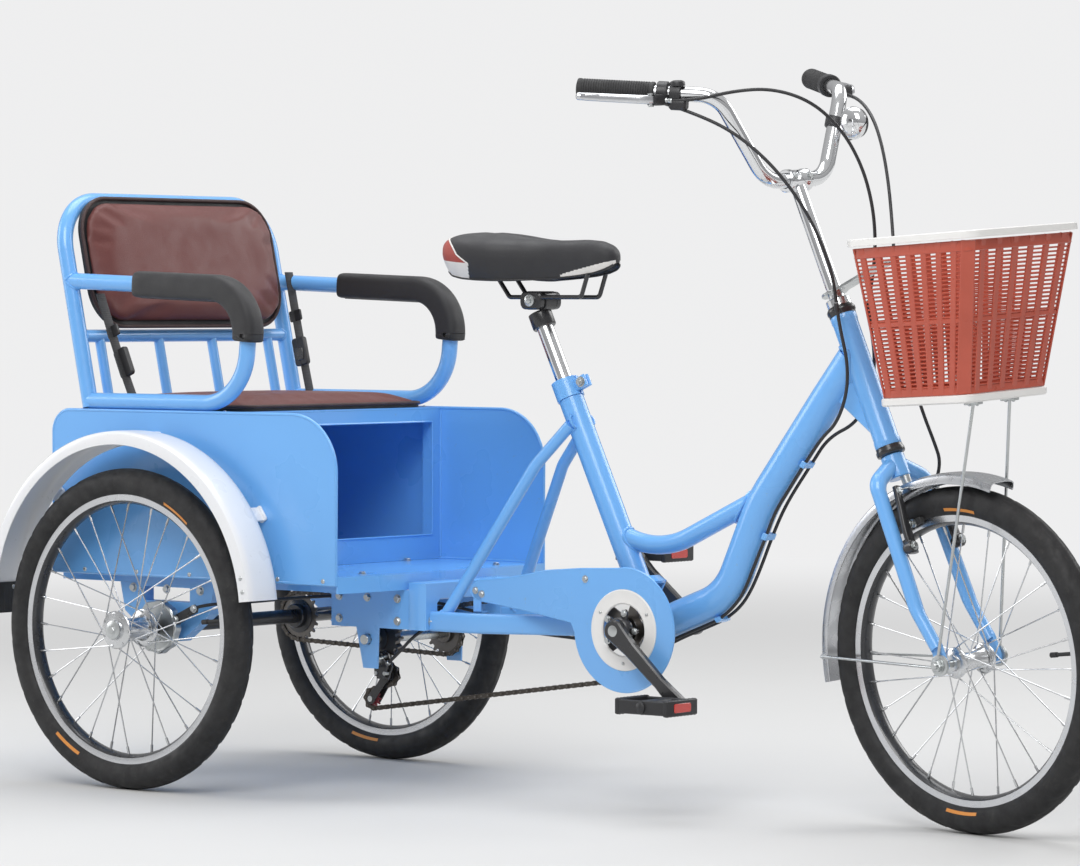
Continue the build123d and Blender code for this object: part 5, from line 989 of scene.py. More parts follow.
def patch_end(turn):
    """How far forward the coloured rear side reaches at a turn."""
    return 428 + 50 * ((turn - 30) / 72) ** 1.25 if turn > 30 else 0


def cover_slot(turn, x):
    """The cover's material at a turn and x: black, coloured at the rear side, pale along the skirt."""
    if 30 < turn <= 112 and x < patch_end(turn):
        return 1
    low_rear = turn > 112 and x < patch_end(112) - (turn - 112) * 0.2
    return 2 if low_rear or (turn > 104 + (700 - x) * 0.42 and x > 612) else 0


TURNS = [-150 + 300 * i / 100 for i in range(101)]
STEPS = 150
shares = [i / STEPS for i in range(STEPS + 1)]
places = [SADDLE_BACK + SADDLE_RUN * ((0.5 - 0.5 * cos(pi * share)) * 0.35 + share * 0.65) for share in shares]
rows = [[saddle_point(x, turn) for turn in TURNS] for x in places]
for _ in range(5):
    eased_rows = [
        [(a + b * 2 + c) / 4 for a, b, c in zip(before, row, after)]
        for before, row, after in zip(rows, rows[1:], rows[2:])
    ]
    rows = [rows[0], *eased_rows, rows[-1]]
wide = len(TURNS)
piece.add([point for row in rows for point in row], [])
for i in range(STEPS):
    for j in range(wide - 1):
        face = (i * wide + j, (i + 1) * wide + j, (i + 1) * wide + j + 1, i * wide + j + 1)
        piece.faces.append(face)
        piece.slots.append(cover_slot(abs((TURNS[j] + TURNS[j + 1]) / 2), (places[i] + places[i + 1]) / 2))
        piece.soft.append(True)
piece.faces += [tuple(range(wide)), tuple(reversed(range(STEPS * wide, (STEPS + 1) * wide)))]
piece.slots += [2, 0]
piece.soft += [False, False]
floor_points = []
for row in rows:
    left, right = row[0], row[-1]
    lift = Vector((0, 0, 5 * MM))
    floor_points += [left, left.lerp(right, 0.12) + lift, left.lerp(right, 0.88) + lift, right]
piece.add(floor_points, [
    (i * 4 + j, i * 4 + j + 1, (i + 1) * 4 + j + 1, (i + 1) * 4 + j) for i in range(STEPS) for j in range(3)
], 3)
for side in SIDES:
    turns = [32 + 80 * k / 24 for k in range(25)]
    sweep([saddle_point(max(patch_end(turn), 419), side * turn) for turn in turns], round_section(1.3, 8), slot=2)
    sweep([row[0 if side < 0 else -1] for row in rows[2:-2]], round_section(1.6, 8), slot=3)
node_piece("saddle", "saddle_red", "saddle_white", "black_plastic", angle=50)

# Saddle rails, and their clamp with its end nuts
RAIL_X = 552.3
for side in SIDES:
    rail = [(RAIL_X - 60, 777.5), (RAIL_X - 40, 752), (RAIL_X + 96, 752), (RAIL_X + 108, 786)]
    tube(at(UPRIGHT, [(x, z, side * 22) for x, z in rail]), 7, [8, 8])
lathe(SEATED, [
    (12.95, POST_END - 24), (17, POST_END - 24), (18, POST_END - 22), (18, POST_END - 0.5), (12.95, POST_END),
], 40, closed=True)
clamp_spot = shifted(UPRIGHT, RAIL_X + 2, 747)
slab(clamp_spot, rectangle(43, 28, 7), -13, 13, bevel=1.5)
for side in SIDES:
    jaw = facing(clamp_spot, side)
    slab(shifted(jaw, z=14), rectangle(40, 27, 10), 0, 12, bevel=2)
    lathe(jaw, [(0, 26), (9, 26), (9, 28.5), (5.5, 29.5), (5.5, 33), (3, 34), (0, 34)], 24, slot=1)
node_piece("saddle_mount", "zinc")

# Basket: sloping walls of wide ribs and fine rungs between a pale rim band and a tray
BASKET_TILT = radians(3.2)
BASKET_H = 214.0
basket_up = (STEERED.to_3x3() @ Vector((-sin(BASKET_TILT), 0, cos(BASKET_TILT)))).normalized()
basket_on = (STEERED.to_3x3() @ Vector((cos(BASKET_TILT), 0, sin(BASKET_TILT)))).normalized()
BASKET = place(STEER_VIEW @ Vector((-88, 622, 0)), basket_on, basket_up)


def wall_sizes(height, inset):
    """Half the walls' length and width at a height over the basket's floor, and how far they lean ahead."""
    share = height / BASKET_H
    return (162 + 67 * share) / 2 - inset, (180 + 50 * share) / 2 - inset, 19 * share


def wall_at(height, inset=0.0, steps=6):
    """The walls' outline at a height over the basket's floor."""
    half_x, half_y, ahead = wall_sizes(height, inset)
    corner = 22 - inset * 0.4
    return [
        point for a, b, first in QUARTERS
        for point in arc(corner, first, 90, steps, ahead + a * (half_x - corner), b * (half_y - corner))
    ]


def hoop(height, thick, tall):
    points = at(BASKET, [(x, y, height) for x, y in wall_at(height, 1.4)])
    sweep(points, rounded_section(thick, tall, min(thick, tall) * 0.3, 1), closed=True, up=basket_up)


RUNG_PITCH = 5.6
height = 12.0
while height < 196:
    hoop(height, 2.6, 2.5)
    height += RUNG_PITCH
hoop(5.5, 3.4, 11)
hoop(102, 3.2, 7)
hoop(203, 3.4, 15)
RIB_HEIGHTS = (2.0, BASKET_H - 4)
for wall, out in enumerate((X, Y, -X, -Y)):
    count = 7 if wall % 2 else 6
    for i in range(count):
        ends = []
        for h in RIB_HEIGHTS:
            half_x, half_y, ahead = wall_sizes(h, 1.2)
            reach = (half_x if wall % 2 else half_y) - 12
            slide = -reach + 2 * reach * ((i + 0.5) / count)
            x, y = ((half_x, slide), (slide, half_y), (-half_x, slide), (slide, -half_y))[wall]
            ends.append(BASKET @ Vector((x + ahead, y, h)))
        sweep(ends, rounded_section(10.5, 3.6, 1.0, 1), up=BASKET.to_3x3() @ out)
for corner, (x, y, _) in enumerate(QUARTERS):
    ends = [BASKET @ Vector((*wall_at(h, 1.2)[corner * 7 + 3], h)) for h in RIB_HEIGHTS]
    sweep(ends, rounded_section(20, 3.2, 1.2, 1), up=BASKET.to_3x3() @ Vector((x, y, 0)))
for i in range(11):
    slab(BASKET, rectangle(154, 3.4, y=-78 + 156 * i / 10), 1.0, 4.0)
for i in range(9):
    slab(BASKET, rectangle(3.4, 172, x=-70 + 140 * i / 8), 1.0, 4.0)
node_piece("basket")
rim_section = [
    (-0.0055, 0.0050), (0.0035, 0.0052), (0.0053, 0.0040), (0.0055, -0.0050), (0.0038, -0.0052), (0.0034, 0.0022),
    (-0.0030, 0.0024), (-0.0036, -0.0030), (-0.0055, -0.0030),
]
rim_points = at(BASKET, [(x, y, BASKET_H + 4.5) for x, y in wall_at(BASKET_H, -1.0, 8)])
sweep(rim_points, rim_section, closed=True, up=basket_up)
slab(shifted(BASKET, z=-12), rectangle(166, 184, 20, steps=7), 0, 11.7, bevel=2.2)
for x in (-48, 0, 48):
    slab(shifted(BASKET, z=-12.2), rectangle(5, 130, 2, x=x), -0.4, 0.6)
node_piece("basket_trim")

# Basket stays: two rods to the hub, their feet, and the strap at the headset
tray_low = shifted(BASKET, z=-12.5)
for side in SIDES:
    seat_point = tray_low @ Vector((50, side * 38, -3))
    hub_point = FRONT @ Vector((0, 14, -side * 65.1))
    tube([seat_point, seat_point.lerp(hub_point, 0.03), hub_point], 4.6, [5])
    slab(shifted(tray_low, z=-4), rectangle(26, 14, 3, x=50, y=side * 38), 0, 3.8, bevel=0.6)
    for x in (43, 57):
        screw(facing(shifted(tray_low, x=x, y=side * 38, z=-4), -1), 2.6)
    eye = [(5.4, 0), (14, 0), (15, 0.6), (15, 2.2), (14, 2.5), (5.4, 2.5)]
    lathe(shifted(FRONT, z=-side * 63.25 - 1.25), eye, 32, closed=True)
slab(shifted(FORKED, z=824), [*arc(20, 48, 264, 22), (110, -15), (110, 15)], 0.1, 3.9, bevel=0.5)
node_piece("basket_stays")


# Mudguards with rolled edges, their brackets and screws, and the flaps
def guard(spot, r, w, lip, start, turn, thick=1.6):
    """A trough of a radius and half width with a domed back, and a bead rolled along each edge."""
    outer = [(r - lip, w), (r - 9, w), (r - 4, w - 1.4), (r - 1.4, w - 5), (r - 0.4, w - 12), (r, w - 22)]
    outer = mirrored(outer)
    inner = [(a - (0 if a == r - lip else thick * 0.8), b * (w - thick) / w) for a, b in reversed(outer)]
    lathe(spot, outer + inner, 110, radians(start), radians(turn), closed=True)
    for side in SIDES:
        edge = [(x, y, side * (w - 1.3)) for x, y in arc(r - lip, start, turn, 90)]
        sweep(at(spot, edge), round_section(1.4, 8))


GUARD_ACROSS = 307
for side in SIDES:
    about = shifted(UPRIGHT, 0, 272, -side * GUARD_ACROSS)
    guard(about, 276, 34, 20, 5.8, 168.4)
    for angle in (35, 90, 140):
        bracket = spun(about, radians(angle), 266)
        low, high = sorted((side * 33.5, side * 56.7))
        slab(shifted(bracket, z=low), rectangle(4, 24, 1.5), 0, high - low, bevel=0.8)
        slab(shifted(bracket, z=side * 52.7), rectangle(13.6, 25, 3), *sorted((0, side * 4)), bevel=0.6)
        for y in (-7, 7):
            screw(facing(shifted(bracket, y=y, z=side * 32), side), 3.2, 1)
    for angle in (9, 13.5):
        for face in SIDES:
            screw(facing(spun(about, radians(angle), 264, 0, face * 34), face), 3.4, 1)
node_piece("rear_mudguards", "zinc")
for side in SIDES:
    flap = place(UPRIGHT @ Vector((-271.7, 282, -side * GUARD_ACROSS)), Y, X)
    outline = [(-30, 24), (-30, -16), (-26, -23), (-20, -24), (20, -24), (26, -23), (30, -16), (30, 24)]
    slab(flap, outline, 0.4, 3.6, bevel=0.8)
    for x in (-12, 0, 12):
        slab(flap, rectangle(3, 34, 1.4, x=x, y=-4), 0.0, 4.0, bevel=0.4)
    for x in (-19, 19):
        screw(shifted(flap, x=x, y=16, z=3.4), 3.4, 1)
node_piece("mudguard_flaps", "zinc")
guard(FRONT, 265, 25, 14, 74, 116, thick=1.4)
lathe(shifted(FORKED, 10.6), rod(7, 526, 540.7), 24, slot=1)
for side in SIDES:
    stay = [(-14, -4, side * 60.5), (-30, -4.4, side * 58), (-240, -7.6, side * 27.6), (-261, -8, side * 26.6)]
    tube(at(FRONT, stay), 4.2, [8, 20], slot=1)
    screw(facing(shifted(FRONT, -258, -8, side * 25), side), 4, 1)
    eye = [(5.4, 0), (13.6, 0), (15, 0.6), (15, 1.9), (13.6, 2.5), (5.4, 2.5)]
    lathe(shifted(FRONT, z=side * 60.5 - 1.25), eye, 32, closed=True, slot=1)
node_piece("front_mudguard", "zinc", main="guard_alloy")

# Front rim brake: tapered arms on their bosses, pads with their bolts, and the cable's link across the top
FORK_ON, FORK_UP = FORKED.col[0].xyz, FORKED.col[2].xyz
for side in SIDES:
    arm = at(FORK_VIEW, [(22, 424, side * 48.5), (22, 470, side * 46), (22, 523.7, side * 38)])
    sweep(eased(arm, [300], 1), rounded_section(14, 8, 2.5, 3), up=FORK_ON, twist=lambda share, section: scaled(
        section, 1.12 - 0.4 * share, 1,
    ))
    boss = place(FORK_VIEW @ Vector((12.4, 433.7, side * 50)), FORK_UP, FORK_ON)
    lathe(boss, [(0, 0), (7, 0), (7, 3), (9.5, 5), (9.5, 14.5), (8, 16), (0, 16)], 28)
    bolt(shifted(boss, z=15.5), 4.6, 3.6, 1)
    pad = shifted(FORK_VIEW, x=10.6, y=467.7, z=side * 23.5)
    slab(pad, rectangle(50, 9, 3.5), -4.6, 4.6, bevel=1, slot=2)
    for x in (-12, 0, 12):
        slab(shifted(pad, x=x, z=-side * 5), rectangle(8, 7, 1), -0.6, 0.6, slot=2)
    spot = shifted(facing(pad, side), x=10)
    lathe(spot, [(0, 3.5), (6, 3.5), (6, 6), (3.2, 7), (3.2, 18), (0, 18)], 20, slot=1)
    bolt(shifted(spot, z=14), 5, 4, 1)
    bolt(place(FORK_VIEW @ Vector((26, 516, side * 38.5)), FORK_UP, FORK_ON), 3.8, 3, 1)
tube(at(FORK_VIEW, [(30, 516, -38), (31, 519, -14), (31, 519, 14), (30, 516, 38)]), 2.2, [16, 16], slot=1)
tube(at(FORK_VIEW, [(31, 518.9, -18), (31, 519, 18)]), 6.5, slot=2)
node_piece("front_brake", "zinc", "rubber")

# Front axle with its nuts and washers
lathe(FRONT, mirrored([(0, -76.5), (4, -76.5), (4.9, -75.5)]), 24)
for side in SIDES:
    end = facing(FRONT, side)
    lathe(shifted(end, z=64.8), [(5, 0), (10.5, 0), (10.5, 1.4), (5, 1.4)], 28, closed=True)
    slab(shifted(end, z=66), arc(8.9, count=6), 0, 6.6, bevel=0.9)
node_piece("front_axle")

# Rear axle with its bosses, sprocket and end caps, and the band brake
lathe(AXLE, mirrored([(0, -345), (6, -345), (9.6, -343.5), (11, -341)]), 36)
carrier = [
    (11, -98), (17.4, -98), (19, -96.5), (19, -90), (27, -89), (27, -86.3), (27, -81.7), (19, -80), (19, -71.5),
    (17.4, -70), (11, -70),
]
lathe(AXLE, carrier, 40, closed=True)
gear(AXLE, 19, 33.5, 39.5, -85.4, -82.6, bore=20, slot=1, soft=True)
for z in (-186, 186):
    lathe(AXLE, collar(11, 18, z - 9, z + 9), 32, closed=True)
for side in SIDES:
    end = facing(AXLE, side)
    lathe(end, [(11.1, 338), (15.4, 338.1), (15.4, 343), (14, 346), (10, 347.5), (0, 348)], 40, slot=2)
    bolt(shifted(end, z=347.4), 5.2, 1.2, 2)
node_piece("rear_axle", "cog_steel", "zinc")
slab(AXLE, lobed(144, lambda turn: 40.6 + 1.3 * cos(turn * 9)), 236, 250.6, bevel=1.6, soft=True)
lathe(AXLE, [(35, 250.4), (36.5, 251), (38.5, 251), (39, 250.4)], 64)
lathe(AXLE, [
    (11.4, 225.4), (15.4, 225.4), (17, 227), (17, 233), (26, 235.4), (30, 236.2), (30, 250.5), (20, 250.8),
    (11.4, 250.8),
], 56, closed=True)
slab(shifted(AXLE, z=239.4), [(30, 17), (74, 37), (81, 31), (79, 25), (40, 5), (31, 6)], 0, 7.4, bevel=1.2, slot=1)
for x, y in ((76, 31), (38, 13)):
    bolt(shifted(AXLE, x=x, y=y, z=246.6), 4.2, 3.4)
for turn in (60, 180, 300):
    screw(spun(AXLE, radians(turn), 24, 0, 250.6), 2.8)
node_piece("band_brake", "dark_paint")

# Beads, screws and bolts on the box's sheets
panel_edge = [(-218.4, 323.6), (364.4, 323.6), *arc(86.4, 0, 90, 16, 278, 489), *arc(34.4, 90, 90, 12, -184, 541)]
for side in SIDES:
    sweep(at(UPRIGHT, [(x, z, side * 248.4) for x, z in panel_edge]), round_section(2.7, 10), closed=True)
    for x in (-150, -40, 70, 250, 340):
        screw(facing(shifted(UPRIGHT, x, 328, side * 250), side), 3.6, 1)
    sweep(at(UPRIGHT, [(156, z, side * 246.4) for z in (338, 572)]), round_section(1.9, 8))
    sweep(at(UPRIGHT, [(x, 336, side * 246.2) for x in (-210, 362)]), round_section(2.0, 8))
mouth = [(-226.5, 554), (-226.5, 374), (226.5, 374), (226.5, 554)]
corners = at(UPRIGHT, [(155.2, z, y) for y, z in mouth])
for a, b in zip(corners, corners[1:] + corners[:1]):
    sweep([a, b], round_section(1.5, 8))
for y in (-160, 160):
    for x in (160, 340):
        bolt(shifted(BODY, x, y, 335), 4.6, 3.2, 1)
for x in (-160, 0, 130):
    for side in SIDES:
        screw(shifted(BODY, x, side * 236.039, 577), 3.2, 1)
piece.join("box_beads", "frame", "sheet_paint", [M["sheet_paint"], M["zinc"]])
for side in SIDES:
    for x in (-70, 0, 70):
        bolt(facing(shifted(UPRIGHT, x, 302, side * 225), side), 5, 4)
    if side < 0:
        bearing = [(11.3, 0), (25, 0), (26, 1), (26, 3), (21, 4.5), (18, 5), (11.3, 5)]
        lathe(facing(shifted(AXLE, z=side * 225), side), bearing, 40, closed=True)
    plate = facing(shifted(UPRIGHT, z=side * 101.6), side)
    for x, z in ((244, 296), (300, 296), (360, 296), (244, 262), (360, 262)):
        bolt(shifted(plate, x, z * side), 4.6, 3.6)
piece.join("hanger_bolts", "frame", "zinc", [M["zinc"]])

# Drive: chains made of links, sprockets, derailleur, cover, cranks and pedals
LINK_PITCH = 12.7


def belt_line(circles, step=1.0):
    """Points along a loop round circles of (x, z, radius); positive radii are passed anticlockwise."""
    contacts = []
    for (x0, z0, r0), (x1, z1, r1) in zip(circles, circles[1:] + circles[:1]):
        span = sqrt((x1 - x0) ** 2 + (z1 - z0) ** 2)
        heading = atan2(z1 - z0, x1 - x0) - asin((r1 - r0) / span)
        side = Vector((-sin(heading), cos(heading)))
        contacts.append((Vector((x0, z0)) - side * r0, Vector((x1, z1)) - side * r1))
    line = []
    for i, (x, z, radius) in enumerate(circles):
        arrive, (leave, reach) = contacts[i - 1][1], contacts[i]
        middle, sign = Vector((x, z)), 1 if radius > 0 else -1
        first = atan2(arrive.y - z, arrive.x - x)
        turn = (atan2(leave.y - z, leave.x - x) - first) * sign % tau
        count = max(2, int(turn * abs(radius) / step))
        for k in range(count + 1):
            angle = first + sign * turn * k / count
            line.append(middle + Vector((cos(angle), sin(angle))) * abs(radius))
        run = reach - leave
        count = max(2, int(run.length / step))
        line += [leave + run * k / count for k in range(1, count)]
    return line


def chain_points(circles):
    """The places of a chain's pins, evenly spaced near its pitch; their number is even."""
    line = belt_line(circles)
    lengths = [0.0]
    for a, b in zip(line, line[1:] + line[:1]):
        lengths.append(lengths[-1] + (b - a).length)
    total = lengths[-1]
    count = 2 * round(total / LINK_PITCH / 2)
    points, k = [], 0
    for i in range(count):
        target = total * i / count
        while lengths[k + 1] < target:
            k += 1
        a, b = line[k], line[(k + 1) % len(line)]
        points.append(a + (b - a) * ((target - lengths[k]) / max(1e-9, lengths[k + 1] - lengths[k])))
    return points


def make_chain(node, circles, across):
    """Waisted link plates, inner and outer in turn, with a roller on a pin at each joint."""
    points = chain_points(circles)
    for i, (point, after) in enumerate(zip(points, points[1:] + points[:1])):
        way, centre = after - point, (point + after) / 2
        spot = spun(shifted(UPRIGHT, *centre, across), atan2(way.y, way.x))
        half = way.length / 2
        outline = [*arc(3.9, -75, 150, 6, half), (0, 2.7), *arc(3.9, 105, 150, 6, -half), (0, -2.7)]
        near, far = (2.5, 3.3) if i % 2 else (1.6, 2.4)
        slab(spot, outline, near, far)
        slab(spot, outline, -far, -near)
        roller = mirrored([(0, -3.5), (1.5, -3.5), (1.5, -1.6), (3.5, -1.6)])
        lathe(shifted(UPRIGHT, *point, across), roller, 10, slot=1)
    node_piece(node, "cog_steel")


GUIDE, JOCKEY = Vector((312, 176)), Vector((280, 138))
make_chain("drive_chain", [(*BOTTOM, 72), (300, 232, 32), (*GUIDE, -15), (*JOCKEY, 15)], 62)
make_chain("axle_chain", [(300, 232, 34), (0, 245, 38)], -84)

JACK = shifted(UPRIGHT, 300, 232)
lathe(JACK, mirrored([(0, -110), (7, -110), (8, -109)]), 28, slot=1)
for side in SIDES:
    slab(shifted(facing(JACK, side), z=102.6), arc(7.9, count=6), 0, 6, bevel=0.8, slot=1)
lathe(JACK, [(8, 44), (17, 44), (20, 46), (20, 48), (18.6, 49), (18.6, 77), (14, 78), (8, 78)], 40, closed=True)
for z, radius, teeth in ((74, 38, 19), (68, 35, 17), (62, 32, 16), (56, 29, 14), (50, 26, 13)):
    gear(JACK, teeth, radius - 3.9, radius + 2.4, z - 1.0, z + 1.0, bore=18)
gear(JACK, 17, 29.6, 35.6, -85.4, -82.6, bore=8)
lathe(JACK, collar(8, 16, -92, -76), 32, closed=True)
node_piece("jackshaft", "zinc", main="cog_steel")

# Derailleur: toothed wheels, waisted cage plates, body links, spring and cable barrel
for centre, slot in ((GUIDE, 0), (JOCKEY, 2)):
    wheel = shifted(UPRIGHT, *centre, 62)
    gear(wheel, 11, 9.6, 14.2, -1.3, 1.3, bore=4, slot=slot)
    lathe(wheel, mirrored([(3.8, -3), (7.5, -3), (8.4, -1.3)]), 24, closed=True, slot=slot)
    lathe(wheel, mirrored([(0, -10), (4.6, -10), (4.6, -9), (2.6, -8.6)]), 18, slot=1)
cage_way = GUIDE - JOCKEY
half = cage_way.length / 2
outline = [*arc(8, -90, 180, 12, half), (0, 5.4), *arc(8, 90, 180, 12, -half), (0, -5.4)]
for z in (53.4, 69.4):
    cage = spun(shifted(UPRIGHT, *((GUIDE + JOCKEY) / 2), z), atan2(cage_way.y, cage_way.x))
    slab(cage, outline, -1.1, 1.1, bevel=0.4)
for z, outline in (
    (78.6, [(301, 171), (298, 205), (304, 212), (318, 215), (326, 210), (333, 190), (324, 169)]),
    (86.2, [(303, 176), (302, 204), (317, 211), (330, 190), (321, 172)]),
):
    slab(shifted(UPRIGHT, z=z), outline, 0, 3, bevel=0.9)
for x, z in ((307, 180), (306, 203), (321, 205), (324, 180)):
    lathe(shifted(UPRIGHT, x, z), rod(3, 77.6, 90.4), 16, slot=1)
SPRING_R, SPRING_TURNS = 4.2, 6
spring = []
for share in [i / 72 for i in range(73)]:
    a, b = SPRING_R * cos(tau * SPRING_TURNS * share), SPRING_R * sin(tau * SPRING_TURNS * share)
    spring.append((314 + a, 186 + 10 * share + b * 0.3, 84 + b))
sweep(at(UPRIGHT, spring), round_section(0.7, 6), slot=1)
lathe(shifted(UPRIGHT, *GUIDE), collar(0, 7, 70, 82), 24)
lathe(shifted(UPRIGHT, 312, 199), [(0, 84.4), (7, 84.4), (8, 85.4), (8, 98), (0, 98)], 28, slot=1)
barrel = place(UPRIGHT @ Vector((324, 194, 84)), -Y, UPRIGHT.to_3x3() @ Vector((1, 0.7, 0)))
lathe(barrel, [(0, -4), (3.2, -4), (4, -2), (4, 5), (3.2, 6), (0, 6)], 16, slot=1)
node_piece("derailleur", "zinc", "jockey_red")

# Chain cover with its rolled rim and screws, and the pale ring in it
HOLE_R = 60.0
cover = [*arc(91, -118, 206, 60, *BOTTOM), (760, 355.4), (690, 352.6), (621, 347)]
cover += [(621 - 123 * t, 347 - 18 * t - 3 * sin(pi * t)) for t in [i / 8 for i in range(1, 8)]]
cover += [(498, 329), (488, 322.6), (482.4, 315), (482.6, 308), (488, 301.4), (495, 298.8)]
cover += [(495 + 198 * t, 298.8 - 28.8 * t + 2 * sin(pi * t)) for t in [i / 10 for i in range(1, 10)]]
cover += arc(91, 184, 58, 8, *BOTTOM)
cover = [(x - BOTTOM[0], y - BOTTOM[1]) for x, y in cover]
hole = [(HOLE_R * cos(turn), HOLE_R * sin(turn)) for turn in [atan2(y, x) for x, y in cover]]
piece.add(*holed(CRANK, cover, hole, 75.0, 77.0), soft=False)
sweep(at(CRANK, [(x * 0.994, y * 0.994, 75.4) for x, y in cover]), round_section(1.9, 8), closed=True)
for x, z in ((492, 313), (504, 308), (700, 338)):
    bolt(shifted(UPRIGHT, x, z, 77), 3.8, 2.6, 1)
foot = shifted(CRANK, z=35.3)
for inner, high in ((24, 4), (83, 40)):
    slab(spun(foot, radians(62)), [(inner, -8), (87, -8), (87, 8), (inner, 8)], 0, high, bevel=0.8)
lathe(foot, [(12, 0), (26, 0), (26, 4), (12, 4)], 40, closed=True, slot=1)
slab(shifted(UPRIGHT, 495, 296, 75), rectangle(14, 33), 0, 2)
slab(shifted(BODY, 495, -76, 279.3), rectangle(14, 16, y=7), 0, 2)
node_piece("chain_cover", "zinc")
lathe(CRANK, [
    (38, 75), (38, 77), (40, 78.2), (44, 77.6), (54, 77.6), (58, 78.2), (59.7, 77.2), (59.7, 75), (54, 74.6),
    (44, 74.6),
], 96, closed=True)
for turn in (30, 150, 270):
    screw(spun(CRANK, radians(turn), 49, 0, 77.5), 2.6, 1)
node_piece("cover_ring", "zinc")

# Cranks with their spider and caps, the chainring and the pedals
CRANK_LONG = 152
CRANK_TURNS = {-1: radians(-41), 1: radians(-41) + pi}
lathe(CRANK, rod(8.4, -98, 98), 32, slot=1)
outline = [*arc(16.5, 90, 180, 16), (40, -11.5), (110, -9.5)]
outline += [*arc(13, -90, 180, 16, CRANK_LONG), (110, 9.5), (40, 11.5)]
for side, turn in CRANK_TURNS.items():
    arm = spun(CRANK, turn, z=-side * 98)
    slab(arm, outline, -6, 6, bevel=2.4)
    out = facing(arm, -side)
    lathe(out, [(0, 6.4), (7, 6.4), (9, 5.8), (10.5, 5.8)], 28, slot=1)
    lathe(shifted(out, CRANK_LONG), [(0, 6), (4.9, 6.2), (4.9, 90.5), (4, 91.5), (0, 91.5)], 24, slot=1)
    slab(shifted(out, CRANK_LONG, 0, 6), arc(8.4, count=6), 0, 6, bevel=0.8, slot=1)
spider = lobed(180, lambda turn: 15 + 17.6 * (0.5 + 0.5 * cos(5 * turn)) ** 2.2)
slab(shifted(CRANK, z=81), spider, 0, 6, bevel=1.6)
lathe(CRANK, [(8.4, 80), (20, 80), (20, 88), (17, 92), (16, 92.5), (8.4, 92.5)], 36, closed=True)
for i in range(5):
    bolt(spun(CRANK, tau * i / 5, 27, 0, 87), 3.6, 2.2, 1)
node_piece("crankset", "zinc")
gear(CRANK, 36, 68.2, 75.0, 60.6, 63.4, bore=52)
lathe(CRANK, [(8.7, 60.7), (26, 60.7), (26, 63.3), (20, 63.4), (20, 71.7), (8.7, 71.7)], 40, closed=True)
for i in range(5):
    slab(spun(CRANK, tau * i / 5, z=60.8), [(22, -11), (54, -8), (54, 8), (22, 11)], 0, 2.4, bevel=0.6)
node_piece("chainring", main="cog_steel")
for name, side in (("right", -1), ("left", 1)):
    eye_x = BOTTOM[0] + CRANK_LONG * cos(CRANK_TURNS[side])
    eye_z = BOTTOM[1] + CRANK_LONG * sin(CRANK_TURNS[side])
    spot, top = shifted(UPRIGHT, eye_x, eye_z, -side * 150), shifted(BODY, eye_x, side * 150, eye_z)
    lathe(spot, mirrored([(5.1, -36), (9, -36), (10.5, -34)]), 32, closed=True)
    for edge in SIDES:
        slab(shifted(top, x=edge * 43, z=-11.5), rectangle(8, 74, 2), 0, 23, bevel=1.4)
        for y in range(-32, 33, 8):
            slab(shifted(top, x=edge * 43, y=y), rectangle(6, 3.6, 0.8), -12, 12, bevel=0.4)
        slab(place(top @ Vector((edge * 46.9, 0, 0)), Y, X * edge), rectangle(40, 13, 3), -0.2, 1.0, bevel=0.4, slot=1)
    for y in (-33, 33):
        slab(shifted(top, y=y, z=-10), rectangle(86, 7, 2), 0, 20, bevel=1.4)
    for x in (-12, 12):
        slab(shifted(top, x=x, z=-8), rectangle(4, 66), 0, 16, bevel=0.8)
    lathe(facing(spot, -side), [(0, 41), (6, 40.6), (8, 39), (8.4, 36), (0, 36)], 28)
    node_piece(f"pedal_{name}", "pedal_red")


# Grips with ribs, levers on their perches, the gear shifter and the bell
def bar_end(side):
    """The ways along and ahead of a grip, and a function for points by those ways and upwards."""
    _, top, end = bar_points(side)
    along = (top - end).normalized()
    ahead = (Vector((-along.z, 0, along.x)) * -side).normalized()

    def point(d, a, up=-10):
        return STEER_VIEW @ (end + along * d + ahead * a + Vector((0, up, 0)))

    return STEER_VIEW.to_3x3() @ along, STEER_VIEW.to_3x3() @ ahead, point


def blade(share, section):
    """A lever's section: wide at its root, narrow in the middle and a little wider at its tip."""
    wide = 1.3 - 0.6 * share if share < 0.5 else 1.0 + 0.25 * max(0.0, share - 0.8) / 0.2
    return scaled(section, wide, 1.12 - 0.2 * share)


RIB_PITCH = 3.6
grip_profile = [(0, -0.9), (11, -0.9), (14.6, 0.2), (15.4, 1.6), (15.4, 5.5), (14.7, 7)]
z = 8.0
while z < 103:
    grip_profile += [(14.5, z), (15.3, z + 0.7), (15.3, z + 2.1), (14.5, z + 2.8)]
    z += RIB_PITCH
grip_profile += [(14.8, 106), (15.4, 107.5), (15.4, 110.5), (14.6, 111.8), (11.3, 111.9)]
for side in SIDES:
    along, ahead, point = bar_end(side)
    lathe(place(point(0, 0, 0), ahead, along), grip_profile, 36)
node_piece("grips")

